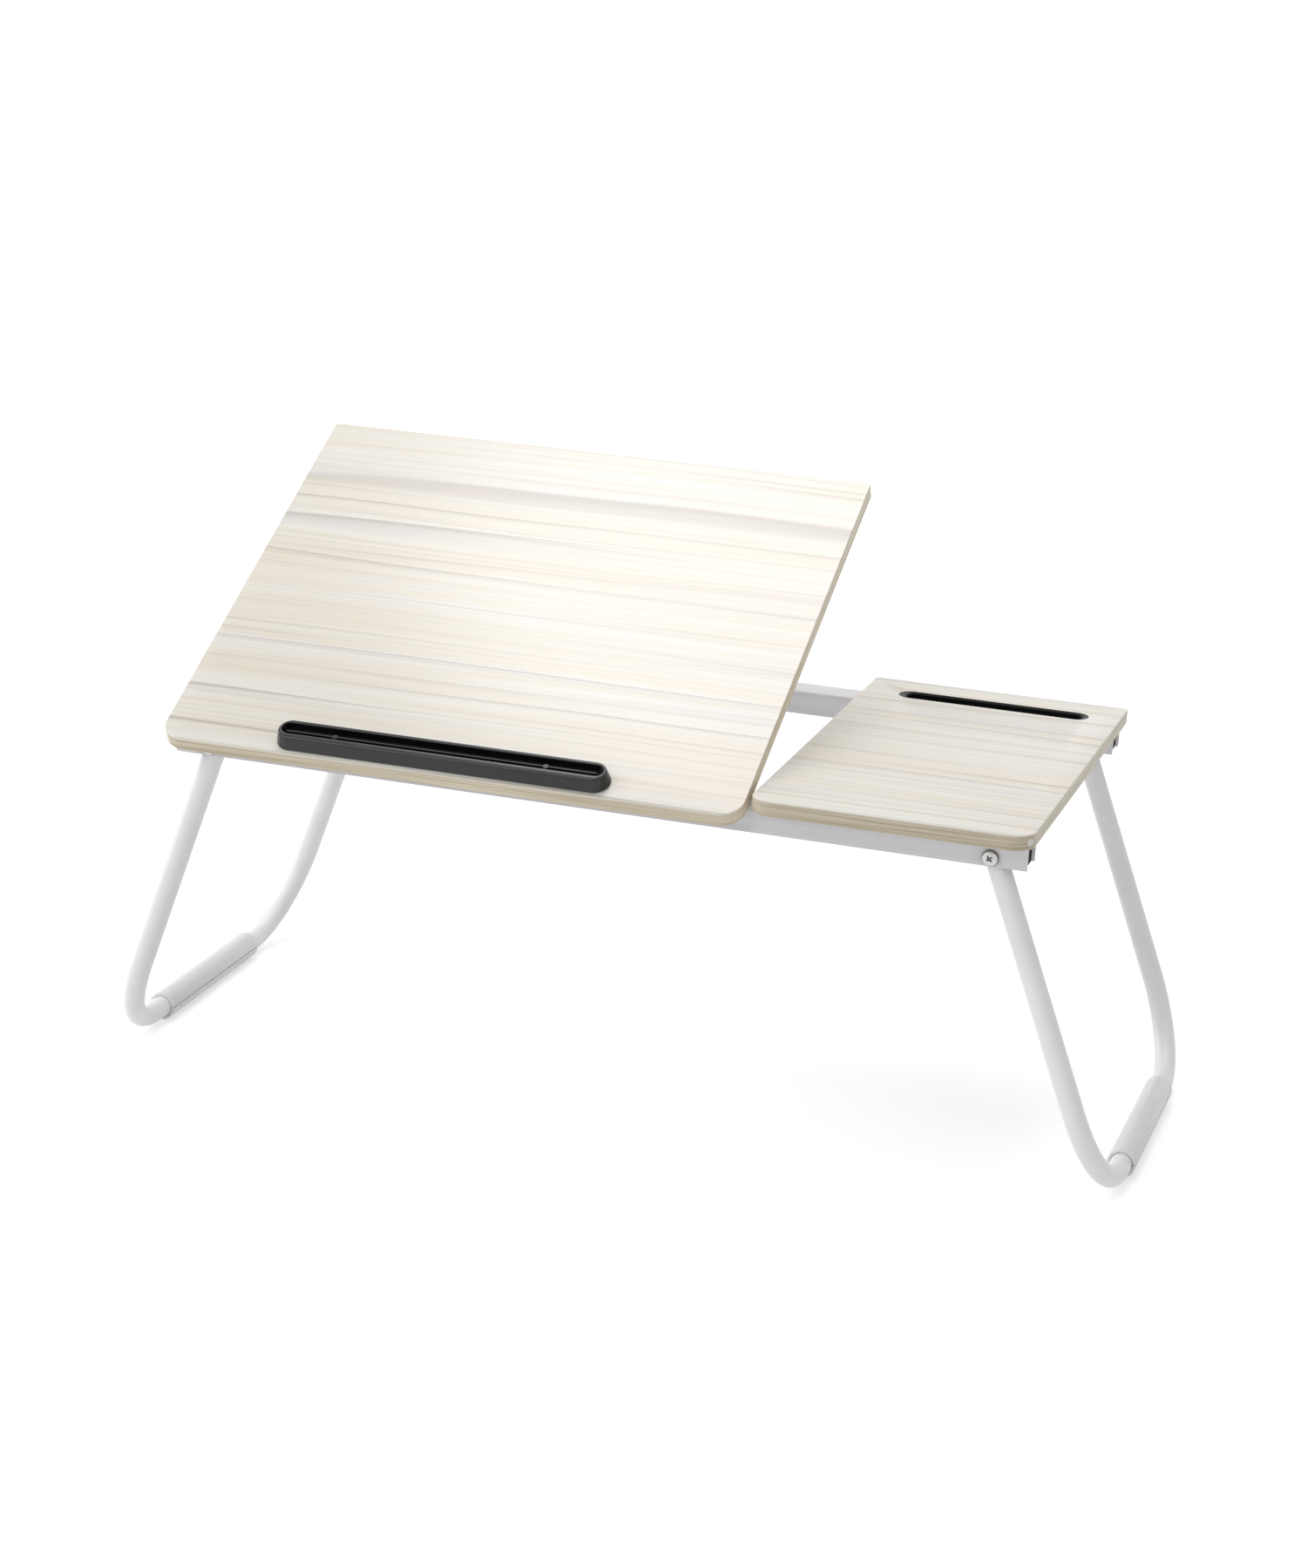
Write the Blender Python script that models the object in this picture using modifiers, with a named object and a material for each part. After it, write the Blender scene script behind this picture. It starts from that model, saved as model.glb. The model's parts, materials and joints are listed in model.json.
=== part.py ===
"""Folding low table: a tilting reading board and a fixed side board on a folding steel frame.

Lengths are in metres. X runs along the table, Y to its back, Z up. The origin is on the floor,
below the middle of the table as it stands with its legs open and the reading board raised.
"""

import math

import bmesh
import bpy
from mathutils import Matrix, Vector

# Overall
TABLE_LENGTH = 0.520
TABLE_DEPTH = 0.300
TABLE_HEIGHT = 0.226
SEAT_GAP = 0.0003
CUT_OVERRUN = 0.002

# Boards
BOARD_THICKNESS = 0.009
SIDE_BOARD_WIDTH = 0.162
BOARD_SEAM = 0.003
FRONT_CORNER_R = 0.014
BACK_CORNER_R = 0.003
BOARD_EDGE_BEVEL = 0.0006

# Rails, pressed from sheet as channels that open downwards
SHEET_THICKNESS = 0.0012
RAIL_WIDTH = 0.022
RAIL_HEIGHT = 0.0152
RAIL_BEND_R = 0.0032
RAIL_END_INSET = 0.004
FRONT_RAIL_SET_BACK = 0.016
REAR_RAIL_SET_BACK = 0.0015

# Cross members, shallow channels of the same sheet
CROSS_WIDTH = 0.020
CROSS_HEIGHT = 0.0055
CROSS_BEND_R = 0.0022
END_CROSS_INSET = 0.002
CENTRE_CROSS_INSET = 0.004
CROSS_SCREW_INSET = 0.050

# Reading board hinges
READING_TILT = math.radians(28.4)
HINGE_COUNT = 3
FIRST_HINGE_FROM_EDGE = 0.086
LAST_HINGE_FROM_SEAM = 0.033
LUG_THICKNESS = 0.0016
EAR_THICKNESS = 0.0016
HINGE_PIN_R = 0.0013
HINGE_PLATE_WIDTH = 0.016
HINGE_PLATE_LENGTH = 0.050
HINGE_PLATE_THICKNESS = 0.0012
HINGE_SCREW_FROM_END = 0.006
HINGE_SCREW_SPACING = 0.013

# Small board screws
SCREW_SHANK_R = 0.0015
SCREW_HEAD_R = 0.0030
SCREW_HEAD_HEIGHT = 0.0018
SCREW_BITE = 0.0055
SCREW_SLOT_WIDTH = 0.0008
SCREW_SLOT_LENGTH = 0.0034
SCREW_SLOT_DEPTH = 0.0008

# Legs
TUBE_R = 0.0065
TUBE_WALL = 0.0010
LEFT_LEG_SPLAY = math.radians(18.0)
RIGHT_LEG_SPLAY = math.radians(21.3)
LEG_BEND_R = 0.055
LEG_PIVOT_FROM_RAIL_END = 0.021
LEG_PIVOT_ABOVE_RAIL_FOOT = 0.0053
LEG_TOP_PAST_PIVOT = 0.0050
SLEEVE_WALL = 0.0017
SLEEVE_FROM_BEND = 0.010

# Leg pivots
BUSH_R = 0.0040
BUSH_WALL = 0.0013
PIVOT_SCREW_R = 0.0024
PIVOT_HEAD_R = 0.0046
PIVOT_HEAD_HEIGHT = 0.0030
PIVOT_CROSS_LENGTH = 0.0052
PIVOT_CROSS_WIDTH = 0.0012
PIVOT_CROSS_DEPTH = 0.0014
NUT_R = 0.0044
NUT_HEIGHT = 0.0036
PIVOT_TIP_PAST_NUT = 0.0012

# End plugs
PLUG_RECESS = 0.0018
FRONT_LEFT_PLUG_SLIP = 0.0030
PLUG_CORNER_R = 0.0022
PLUG_FOOT_CORNER_R = 0.0006

# Prop and the notched racks that hold its foot
WIRE_R = 0.0030
PROP_ARM_FROM_BOARD_EDGE = 0.0525
PROP_FOOT_FROM_REAR_RAIL = 0.0213
PROP_END_LENGTH = 0.016
PROP_END_BEND_R = 0.007
PROP_FOOT_BEND_R = 0.010
CLIP_WIDTH = 0.010
CLIP_THICKNESS = 0.0012
CLIP_HALF_LENGTH = 0.0130
CLIP_SCREW_OFFSET = 0.0088
RACK_THICKNESS = 0.0025
RACK_FROM_PROP_ARM = 0.0175
RACK_FOOT_INSET = 0.0010
NOTCH_DEPTH = 0.0016
NOTCH_TILTS = (READING_TILT, math.radians(21), math.radians(13))
STOP_TOOTH_RISE = 0.0050
STOP_TOOTH_LENGTH = 0.0060

# Book stop on the reading board
STOP_LENGTH = 0.204
STOP_WIDTH = 0.0190
STOP_HEIGHT = 0.0086
STOP_DRAFT = 0.0016
STOP_EDGE_R = 0.0012
STOP_FROM_FRONT = 0.0025
STOP_SHIFT = -0.0035
STOP_REAR_RIM = 0.0027
STOP_END_RIM = 0.0022
TROUGH_WIDTH = 0.0088
TROUGH_DEPTH = 0.0050
TROUGH_DRAFT = 0.0002
RIB_THICKNESS = 0.0010
RIB_FROM_TROUGH_FRONT = 0.0019
RIB_BELOW_RIM = 0.0004
RIB_SHORT_OF_TROUGH = 0.0034
BOSS_R = 0.0016
BOSS_HALF_SPACING = 0.0644
STOP_SCREW_BITE = 0.0030

# Tablet slot in the side board
SLOT_LENGTH = 0.120
SLOT_WIDTH = 0.017
SLOT_DEPTH = 0.0056
SLOT_FROM_BACK = 0.0250
SLOT_SHIFT = 0.0020
SLOT_ROUNDING_SHARE = 0.96
SLOT_RAMP_DEPTH = 0.0012
SLOT_FRONT_RAMP = 0.0036
SLOT_END_RAMP = 0.0040
SLOT_INNER_CORNER_R = 0.0015
LINER_WALL = 0.0010
LINER_FLOOR = 0.0008

# Facets
TUBE_SIDES = 16
BORE_SIDES = 12
WIRE_SIDES = 10
BEND_STEPS = 6
ROUND_STEPS = 28
HOLE_STEPS = 16
SCREW_STEPS = 12
SMALL_SCREW_STEPS = 10

# Places worked out from the sizes above
BOARD_UNDERSIDE = TABLE_HEIGHT - BOARD_THICKNESS
RAIL_TOP = BOARD_UNDERSIDE - SEAT_GAP
RAIL_FOOT = RAIL_TOP - RAIL_HEIGHT
RAIL_LENGTH = TABLE_LENGTH - 2 * RAIL_END_INSET
HINGE_DEPTH = RAIL_BEND_R + SEAT_GAP
HINGE_Z = BOARD_UNDERSIDE - HINGE_DEPTH
HINGE_FROM_FRONT = FRONT_RAIL_SET_BACK + RAIL_BEND_R
FRONT_DIP = (
    HINGE_FROM_FRONT * math.cos(READING_TILT)
    + (HINGE_DEPTH + BOARD_THICKNESS) * math.sin(READING_TILT)
    - HINGE_FROM_FRONT
)
REAR_HEAD_REACH = SEAT_GAP + PIVOT_HEAD_HEIGHT - REAR_RAIL_SET_BACK
FRONT_Y = -(TABLE_DEPTH - FRONT_DIP + REAR_HEAD_REACH) / 2
BACK_Y = FRONT_Y + TABLE_DEPTH
HINGE_Y = FRONT_Y + HINGE_FROM_FRONT
FRONT_RAIL_Y = FRONT_Y + FRONT_RAIL_SET_BACK + RAIL_WIDTH / 2
REAR_RAIL_Y = BACK_Y - REAR_RAIL_SET_BACK - RAIL_WIDTH / 2
RAILS_MID_Y = (FRONT_RAIL_Y + REAR_RAIL_Y) / 2
RAILS_CLEAR_DEPTH = REAR_RAIL_Y - FRONT_RAIL_Y - RAIL_WIDTH
READING_BOARD_WIDTH = TABLE_LENGTH - SIDE_BOARD_WIDTH - BOARD_SEAM
READING_BOARD_X = -TABLE_LENGTH / 2 + READING_BOARD_WIDTH / 2
SIDE_BOARD_X = TABLE_LENGTH / 2 - SIDE_BOARD_WIDTH / 2
FIRST_HINGE_X = -TABLE_LENGTH / 2 + FIRST_HINGE_FROM_EDGE
HINGE_RUN = READING_BOARD_WIDTH - FIRST_HINGE_FROM_EDGE - LAST_HINGE_FROM_SEAM
HINGE_SPACING = HINGE_RUN / (HINGE_COUNT - 1)
LEG_PIVOT_X = RAIL_LENGTH / 2 - LEG_PIVOT_FROM_RAIL_END
LEG_PIVOT_Z = RAIL_FOOT + LEG_PIVOT_ABOVE_RAIL_FOOT
LEG_HALF_WIDTH = (REAR_RAIL_Y - FRONT_RAIL_Y) / 2
SLEEVE_R = TUBE_R + SEAT_GAP + SLEEVE_WALL
SLEEVE_LENGTH = 2 * (LEG_HALF_WIDTH - LEG_BEND_R - SLEEVE_FROM_BEND)
LEG_DROP = LEG_PIVOT_Z - SLEEVE_R
LEG_SPLAYS = {-1: LEFT_LEG_SPLAY, 1: RIGHT_LEG_SPLAY}
LEFT_FOOT_REACH = LEG_DROP * math.tan(LEFT_LEG_SPLAY)
RIGHT_FOOT_REACH = LEG_DROP * math.tan(RIGHT_LEG_SPLAY)
FEET_MIDDLE_X = (RIGHT_FOOT_REACH - LEFT_FOOT_REACH) / 2
PROP_HALF_WIDTH = READING_BOARD_WIDTH / 2 - PROP_ARM_FROM_BOARD_EDGE
PROP_LENGTH = (REAR_RAIL_Y - RAIL_WIDTH / 2 - HINGE_Y - PROP_FOOT_FROM_REAR_RAIL) / 2
RACK_OFFSET = PROP_HALF_WIDTH - RACK_FROM_PROP_ARM
RACK_TOP = HINGE_Z - WIRE_R - SEAT_GAP

# Colour, roughness, metallic
PAINT = ((0.80, 0.79, 0.81), 0.42, 0.0)
WOOD_PRINT = ((0.84, 0.80, 0.72), 0.45, 0.0)
BLACK_PLASTIC = ((0.03, 0.03, 0.03), 0.38, 0.0)
CLEAR_RUBBER = ((0.78, 0.78, 0.76), 0.55, 0.0)
NYLON = ((0.85, 0.84, 0.80), 0.50, 0.0)
PLATED_STEEL = ((0.62, 0.62, 0.60), 0.28, 1.0)

# Turns that lay a flat outline, drawn in X and Y, across X or across Y
ACROSS_X = Matrix(((0, 0, 1), (1, 0, 0), (0, 1, 0))).to_4x4()
ACROSS_Y = Matrix.Rotation(math.pi / 2, 4, "X")
HEAD_DOWN = Matrix.Rotation(math.pi, 4, "X")
HEAD_TO_FRONT = Matrix.Rotation(math.pi / 2, 4, "X")
HEAD_TO_BACK = Matrix.Rotation(-math.pi / 2, 4, "X")


def clear_scene():
    for obj in list(bpy.data.objects):
        bpy.data.objects.remove(obj)


def new_collection(name):
    collection = bpy.data.collections.new(name)
    bpy.context.scene.collection.children.link(collection)
    return collection


def new_material(name, look):
    colour, roughness, metallic = look
    material = bpy.data.materials.new(name)
    material.use_nodes = True
    shader = material.node_tree.nodes["Principled BSDF"]
    shader.inputs["Base Color"].default_value = (*colour, 1)
    shader.inputs["Roughness"].default_value = roughness
    shader.inputs["Metallic"].default_value = metallic
    return material


clear_scene()
PARTS = new_collection("folding_low_table")
CUTTERS = new_collection("cutters")


# Outlines and paths


def arc(centre, radius, start, end, steps):
    """Points on an arc, both ends included."""
    angles = [start + (end - start) * step / steps for step in range(steps + 1)]
    return [(centre[0] + radius * math.cos(a), centre[1] + radius * math.sin(a)) for a in angles]


def circle(radius, steps=ROUND_STEPS):
    return arc((0, 0), radius, 0, 2 * math.pi, steps)[:-1]


def obround(length, width, shift=0, steps=BEND_STEPS * 2):
    """An outline with half-round ends, long in X, shifted in Y."""
    radius = width / 2
    reach = length / 2 - radius
    right = arc((reach, shift), radius, -math.pi / 2, math.pi / 2, steps)
    left = arc((-reach, shift), radius, math.pi / 2, 3 * math.pi / 2, steps)
    return right + left


def rounded_rectangle(width, depth, radii, steps=BEND_STEPS):
    """A rectangle about its middle; radii go anticlockwise from the corner at -X and -Y."""
    corners = ((-1, -1), (1, -1), (1, 1), (-1, 1))
    points = []
    for index, ((side_x, side_y), radius) in enumerate(zip(corners, radii)):
        centre = (side_x * (width / 2 - radius), side_y * (depth / 2 - radius))
        start = math.pi + index * math.pi / 2
        points += arc(centre, radius, start, start + math.pi / 2, steps)
    return points


def filleted_path(corners, radius, steps=BEND_STEPS):
    """A path through corners, with each corner but the ends turned into a bend."""
    corners = [Vector(corner) for corner in corners]
    path = [corners[0]]
    for before, corner, after in zip(corners, corners[1:], corners[2:]):
        way_in = (corner - before).normalized()
        way_out = (after - corner).normalized()
        turn = way_in.angle(way_out)
        start = corner - way_in * radius * math.tan(turn / 2)
        centre = corner + (way_out - way_in).normalized() * radius / math.cos(turn / 2)
        axis = way_in.cross(way_out)
        for step in range(steps + 1):
            swing = Matrix.Rotation(turn * step / steps, 3, axis)
            path.append(centre + swing @ (start - centre))
    return path + [corners[-1]]


# Objects


def place(obj, parent, location=(0, 0, 0), turn=None, collection=PARTS):
    collection.objects.link(obj)
    obj.parent = parent
    obj.matrix_basis = Matrix.Translation(location) @ (turn or Matrix())
    return obj


def as_cutter(obj):
    obj.hide_render = True
    obj.display_type = "WIRE"
    return obj


def anchor(name, parent=None, location=(0, 0, 0), turn=None):
    """An empty that a body hangs from, on its joint's axis."""
    return place(bpy.data.objects.new(name, None), parent, location, turn)


def mesh_from_curve(curve):
    """The welded mesh of a curve's solid, in the curve's own space."""
    holder = bpy.data.objects.new(curve.name, curve)
    PARTS.objects.link(holder)
    graph = bpy.context.evaluated_depsgraph_get()
    mesh = bpy.data.meshes.new_from_object(holder.evaluated_get(graph))
    bpy.data.objects.remove(holder)
    bpy.data.curves.remove(curve)
    solid = bmesh.new()
    solid.from_mesh(mesh)
    bmesh.ops.remove_doubles(solid, verts=solid.verts, dist=0.000001)
    bmesh.ops.recalc_face_normals(solid, faces=solid.faces)
    solid.to_mesh(mesh)
    solid.free()
    mesh.materials.clear()
    return mesh


def plate_mesh(name, outlines, thickness):
    """A flat outline, with any holes, as thick as given about its own plane."""
    curve = bpy.data.curves.new(name, "CURVE")
    curve.dimensions = "2D"
    curve.fill_mode = "BOTH"
    curve.extrude = thickness / 2
    for outline in outlines:
        spline = curve.splines.new("POLY")
        spline.points.add(len(outline) - 1)
        for point, (x, y) in zip(spline.points, outline):
            point.co = (x, y, 0, 1)
        spline.use_cyclic_u = True
    return mesh_from_curve(curve)


def rod_mesh(name, path, radius, sides):
    """A round rod along a path, closed at its ends."""
    curve = bpy.data.curves.new(name, "CURVE")
    curve.dimensions = "3D"
    curve.bevel_depth = radius
    curve.bevel_resolution = sides // 2 - 2
    curve.use_fill_caps = True
    spline = curve.splines.new("POLY")
    spline.points.add(len(path) - 1)
    for point, place_on_path in zip(spline.points, path):
        point.co = (*place_on_path, 1)
    return mesh_from_curve(curve)


def boxes_mesh(name, boxes):
    """Boxes, each given by its lowest and highest corner."""
    solid = bmesh.new()
    for low, high in boxes:
        middle = (Vector(low) + Vector(high)) / 2
        size = Matrix.Diagonal(Vector(high) - Vector(low)).to_4x4()
        bmesh.ops.create_cube(solid, size=1, matrix=Matrix.Translation(middle) @ size)
    mesh = bpy.data.meshes.new(name)
    solid.to_mesh(mesh)
    solid.free()
    return mesh


def cylinders_mesh(name, cylinders, turn=None, steps=SCREW_STEPS):
    """Cylinders, each given by its middle, radius and length, all turned alike."""
    solid = bmesh.new()
    for middle, radius, length in cylinders:
        bmesh.ops.create_cone(
            solid,
            cap_ends=True,
            segments=steps,
            radius1=radius,
            radius2=radius,
            depth=length,
            matrix=Matrix.Translation(middle) @ (turn or Matrix()),
        )
    mesh = bpy.data.meshes.new(name)
    solid.to_mesh(mesh)
    solid.free()
    return mesh


def lofted_mesh(name, rings):
    """A closed solid through rings of as many points each, from its foot to its innermost ring."""
    solid = bmesh.new()
    loops = [[solid.verts.new(point) for point in ring] for ring in rings]
    for lower, upper in zip(loops, loops[1:]):
        corners = zip(lower, lower[1:] + lower[:1], upper[1:] + upper[:1], upper)
        for quad in corners:
            solid.faces.new(quad)
    solid.faces.new(loops[0])
    solid.faces.new(loops[-1])
    bmesh.ops.recalc_face_normals(solid, faces=solid.faces)
    mesh = bpy.data.meshes.new(name)
    solid.to_mesh(mesh)
    solid.free()
    return mesh


def cutter(name, mesh, parent, location=(0, 0, 0), turn=None):
    return as_cutter(place(bpy.data.objects.new(name, mesh), parent, location, turn, CUTTERS))


def boolean(obj, other, operation="DIFFERENCE"):
    modifier = obj.modifiers.new(other.name, "BOOLEAN")
    modifier.operation = operation
    modifier.solver = "EXACT"
    modifier.object = other


def soften(obj, width):
    """Breaks the sharp edges that a piece has before it is cut."""
    modifier = obj.modifiers.new("soft_edges", "BEVEL")
    modifier.width = width
    modifier.segments = 1
    modifier.limit_method = "ANGLE"
    modifier.angle_limit = math.radians(50)


def finish(obj, material):
    """Gives a piece its material and smooth round faces."""
    obj.data.materials.append(material)
    obj.data.shade_smooth()
    obj.data.set_sharp_from_angle(angle=math.radians(32))
    return obj


def piece(name, mesh, parent, material, location=(0, 0, 0), turn=None):
    return finish(place(bpy.data.objects.new(name, mesh), parent, location, turn), material)


# Sheet metal


def channel_mesh(name, width, height, bend_radius, length):
    """The outer skin of a channel that opens downwards, along X, with its top at zero."""
    half = width / 2
    left = arc((-half + bend_radius, -bend_radius), bend_radius, math.pi, math.pi / 2, BEND_STEPS)
    right = arc((half - bend_radius, -bend_radius), bend_radius, math.pi / 2, 0, BEND_STEPS)
    profile = [(-half, -height)] + left + right + [(half, -height)]
    skin = bmesh.new()
    verts = [skin.verts.new((-length / 2, y, z)) for y, z in profile]
    edges = [skin.edges.new(pair) for pair in zip(verts, verts[1:])]
    grown = bmesh.ops.extrude_edge_only(skin, edges=edges)["geom"]
    moved = [item for item in grown if isinstance(item, bmesh.types.BMVert)]
    bmesh.ops.translate(skin, verts=moved, vec=(length, 0, 0))
    bmesh.ops.recalc_face_normals(skin, faces=skin.faces)
    if min(skin.faces, key=lambda face: -face.calc_center_median().z).normal.z < 0:
        bmesh.ops.reverse_faces(skin, faces=skin.faces)
    mesh = bpy.data.meshes.new(name)
    skin.to_mesh(mesh)
    skin.free()
    return mesh


def channel(name, width, height, bend_radius, length, parent, location, turn=None):
    """A sheet channel as an object, still without its material."""
    mesh = channel_mesh(name, width, height, bend_radius, length)
    obj = place(bpy.data.objects.new(name, mesh), parent, location, turn)
    wall = obj.modifiers.new("sheet", "SOLIDIFY")
    wall.thickness = SHEET_THICKNESS
    wall.offset = -1
    return obj


# Screws


def turned(name, profile, parent, location, turn, steps):
    """A profile in X and Z, run from its top down the outside, turned about Z."""
    mesh = bpy.data.meshes.new(name)
    count = len(profile)
    mesh.from_pydata([(x, 0, z) for x, z in profile], [(i, i + 1) for i in range(count - 1)], [])
    obj = place(bpy.data.objects.new(name, mesh), parent, location, turn)
    spin = obj.modifiers.new("turned", "SCREW")
    spin.steps = steps
    spin.render_steps = steps
    spin.use_merge_vertices = True
    spin.merge_threshold = 0.00001
    return obj


def pan_head_screw(name, sizes, cross, parent, location, turn, material, steps=SCREW_STEPS):
    """A screw with its head's seat at its origin and its shank down its own Z axis."""
    shank_r, head_r, head_height, length = sizes
    cross_length, cross_width, cross_depth = cross
    brow = head_height / 3
    dome = [
        (head_r - (head_height - brow) + (head_height - brow) * math.cos(a), brow
         + (head_height - brow) * math.sin(a))
        for a in (math.radians(d) for d in (90, 45, 0))
    ]
    tip = shank_r / 2
    profile = [(0, head_height)] + dome + [(head_r, 0), (shank_r, 0)]
    profile += [(shank_r, -length + tip), (shank_r - tip, -length), (0, -length)]
    screw = turned(name, profile, parent, location, turn, steps)
    half_l, half_w = cross_length / 2, cross_width / 2
    floor, top = head_height - cross_depth, head_height + CUT_OVERRUN
    arms = (
        ((-half_l, -half_w, floor), (half_l, half_w, top)),
        ((-half_w, -half_l, floor), (half_w, half_l, top)),
    )
    for index, arm in enumerate(arms):
        cut_name = f"{name}_cross_{index}"
        boolean(screw, cutter(cut_name, boxes_mesh(cut_name, [arm]), parent, location, turn))
    return finish(screw, material)


def board_screw(name, parent, location, length, material):
    """A small screw driven upwards, its head's seat at the given place."""
    sizes = (SCREW_SHANK_R, SCREW_HEAD_R, SCREW_HEAD_HEIGHT, length)
    cross = (SCREW_SLOT_LENGTH, SCREW_SLOT_WIDTH, SCREW_SLOT_DEPTH)
    return pan_head_screw(name, sizes, cross, parent, location, HEAD_DOWN, material, SMALL_SCREW_STEPS)


def screw_hole(x, y, seat, bite, end_gap=SEAT_GAP):
    """A hole's middle, radius and length for a board screw that is driven up from its seat."""
    length = bite + end_gap + CUT_OVERRUN
    return (x, y, seat - CUT_OVERRUN + length / 2), SCREW_SHANK_R + SEAT_GAP, length


# Frame


def hinge_places():
    return [FIRST_HINGE_X + index * HINGE_SPACING for index in range(HINGE_COUNT)]


def leg_pivot_holes(parent, rail_y):
    holes = [
        ((side * LEG_PIVOT_X, rail_y, LEG_PIVOT_Z), PIVOT_SCREW_R + SEAT_GAP, RAIL_WIDTH + CUT_OVERRUN)
        for side in (-1, 1)
    ]
    return cylinders_mesh("leg_pivot_holes", holes, HEAD_TO_FRONT)


def make_rails(frame, materials):
    sizes = (RAIL_WIDTH, RAIL_HEIGHT, RAIL_BEND_R, RAIL_LENGTH)
    front = channel("front_rail", *sizes, frame, (0, FRONT_RAIL_Y, RAIL_TOP))
    rear = channel("rear_rail", *sizes, frame, (0, REAR_RAIL_Y, RAIL_TOP))
    ear_reach = RAIL_BEND_R - SHEET_THICKNESS / 2
    block_half = LUG_THICKNESS / 2 + SEAT_GAP + EAR_THICKNESS
    slot_half = LUG_THICKNESS / 2 + SEAT_GAP
    slot_reach = RAIL_BEND_R + SEAT_GAP
    blocks = []
    slots = []
    for x in hinge_places():
        low = (x - block_half, HINGE_Y - ear_reach, HINGE_Z - RAIL_BEND_R)
        high = (x + block_half, HINGE_Y + RAIL_BEND_R, HINGE_Z + ear_reach)
        blocks.append((low, high))
        low = (x - slot_half, HINGE_Y - slot_reach - CUT_OVERRUN, HINGE_Z - slot_reach)
        high = (x + slot_half, HINGE_Y + slot_reach, HINGE_Z + slot_reach + CUT_OVERRUN)
        slots.append((low, high))
    pins = [
        ((x, HINGE_Y, HINGE_Z), HINGE_PIN_R + SEAT_GAP, 2 * block_half + CUT_OVERRUN)
        for x in hinge_places()
    ]
    boolean(front, cutter("hinge_ears", boxes_mesh("hinge_ears", blocks), frame), "UNION")
    boolean(front, cutter("hinge_slots", boxes_mesh("hinge_slots", slots), frame))
    boolean(front, cutter("pin_holes", cylinders_mesh("pin_holes", pins, ACROSS_X), frame))
    boolean(front, cutter("front_pivot_holes", leg_pivot_holes(frame, FRONT_RAIL_Y), frame))
    boolean(rear, cutter("rear_pivot_holes", leg_pivot_holes(frame, REAR_RAIL_Y), frame))
    finish(front, materials["paint"])
    finish(rear, materials["paint"])
    for index, x in enumerate(hinge_places(), 1):
        pin = cylinders_mesh("hinge_pin", [((0, 0, 0), HINGE_PIN_R, 2 * block_half)], ACROSS_X)
        piece(f"hinge_pin_{index}", pin, frame, materials["steel"], (x, HINGE_Y, HINGE_Z))


def cross_places():
    """The middle of each cross member, by name."""
    end = RAIL_LENGTH / 2 - END_CROSS_INSET - CROSS_WIDTH / 2
    centre = TABLE_LENGTH / 2 - SIDE_BOARD_WIDTH + CENTRE_CROSS_INSET + CROSS_WIDTH / 2
    return {"left_cross_member": -end, "centre_cross_member": centre, "right_cross_member": end}


def side_board_screw_places():
    """Where the side board is screwed down, on the two cross members below it."""
    places = cross_places()
    half = RAILS_CLEAR_DEPTH / 2 - CROSS_SCREW_INSET
    names = ("centre_cross_member", "right_cross_member")
    return [(places[name], RAILS_MID_Y + side * half) for name in names for side in (-1, 1)]


def make_cross_members(frame, materials):
    along_y = Matrix.Rotation(math.pi / 2, 4, "Z")
    length = RAILS_CLEAR_DEPTH - 2 * SEAT_GAP
    seat = RAIL_TOP - SHEET_THICKNESS
    for name, x in cross_places().items():
        middle = (x, RAILS_MID_Y, RAIL_TOP)
        member = channel(name, CROSS_WIDTH, CROSS_HEIGHT, CROSS_BEND_R, length, frame, middle, along_y)
        holes = [
            screw_hole(hole_x, hole_y, seat, SHEET_THICKNESS + CUT_OVERRUN)
            for hole_x, hole_y in side_board_screw_places()
            if hole_x == x
        ]
        if holes:
            holes_name = f"{name}_holes"
            boolean(member, cutter(holes_name, cylinders_mesh(holes_name, holes), frame))
        finish(member, materials["paint"])


def rack_outline():
    """The rack's side view: Y from the hinge axis backwards, Z from the prop foot's axis up."""
    front = FRONT_RAIL_Y + RAIL_WIDTH / 2 + SEAT_GAP - HINGE_Y
    back = REAR_RAIL_Y - RAIL_WIDTH / 2 - SEAT_GAP - HINGE_Y
    top = RACK_TOP - HINGE_Z
    foot = RAIL_FOOT + RACK_FOOT_INSET - HINGE_Z
    notch_r = WIRE_R + SEAT_GAP
    notch_half = math.acos((notch_r - NOTCH_DEPTH) / notch_r)
    centre_z = top - NOTCH_DEPTH + notch_r
    first = 2 * PROP_LENGTH * math.cos(NOTCH_TILTS[0])
    tooth_back = first - notch_r
    outline = [(front, foot), (back, foot), (back, top)]
    for tilt in reversed(NOTCH_TILTS):
        centre = (2 * PROP_LENGTH * math.cos(tilt), centre_z)
        down = -math.pi / 2
        outline += arc(centre, notch_r, down + notch_half, down - notch_half, BEND_STEPS)
    outline += [(tooth_back, top), (tooth_back, top + STOP_TOOTH_RISE)]
    outline += [(tooth_back - STOP_TOOTH_LENGTH / 2, top + STOP_TOOTH_RISE)]
    outline += [(tooth_back - STOP_TOOTH_LENGTH, top), (front, top)]
    return outline


def make_racks(frame, materials):
    for name, side in (("left_rack", -1), ("right_rack", 1)):
        mesh = plate_mesh(name, [rack_outline()], RACK_THICKNESS)
        place_x = READING_BOARD_X + side * RACK_OFFSET
        piece(name, mesh, frame, materials["paint"], (place_x, HINGE_Y, HINGE_Z), ACROSS_X)


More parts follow.
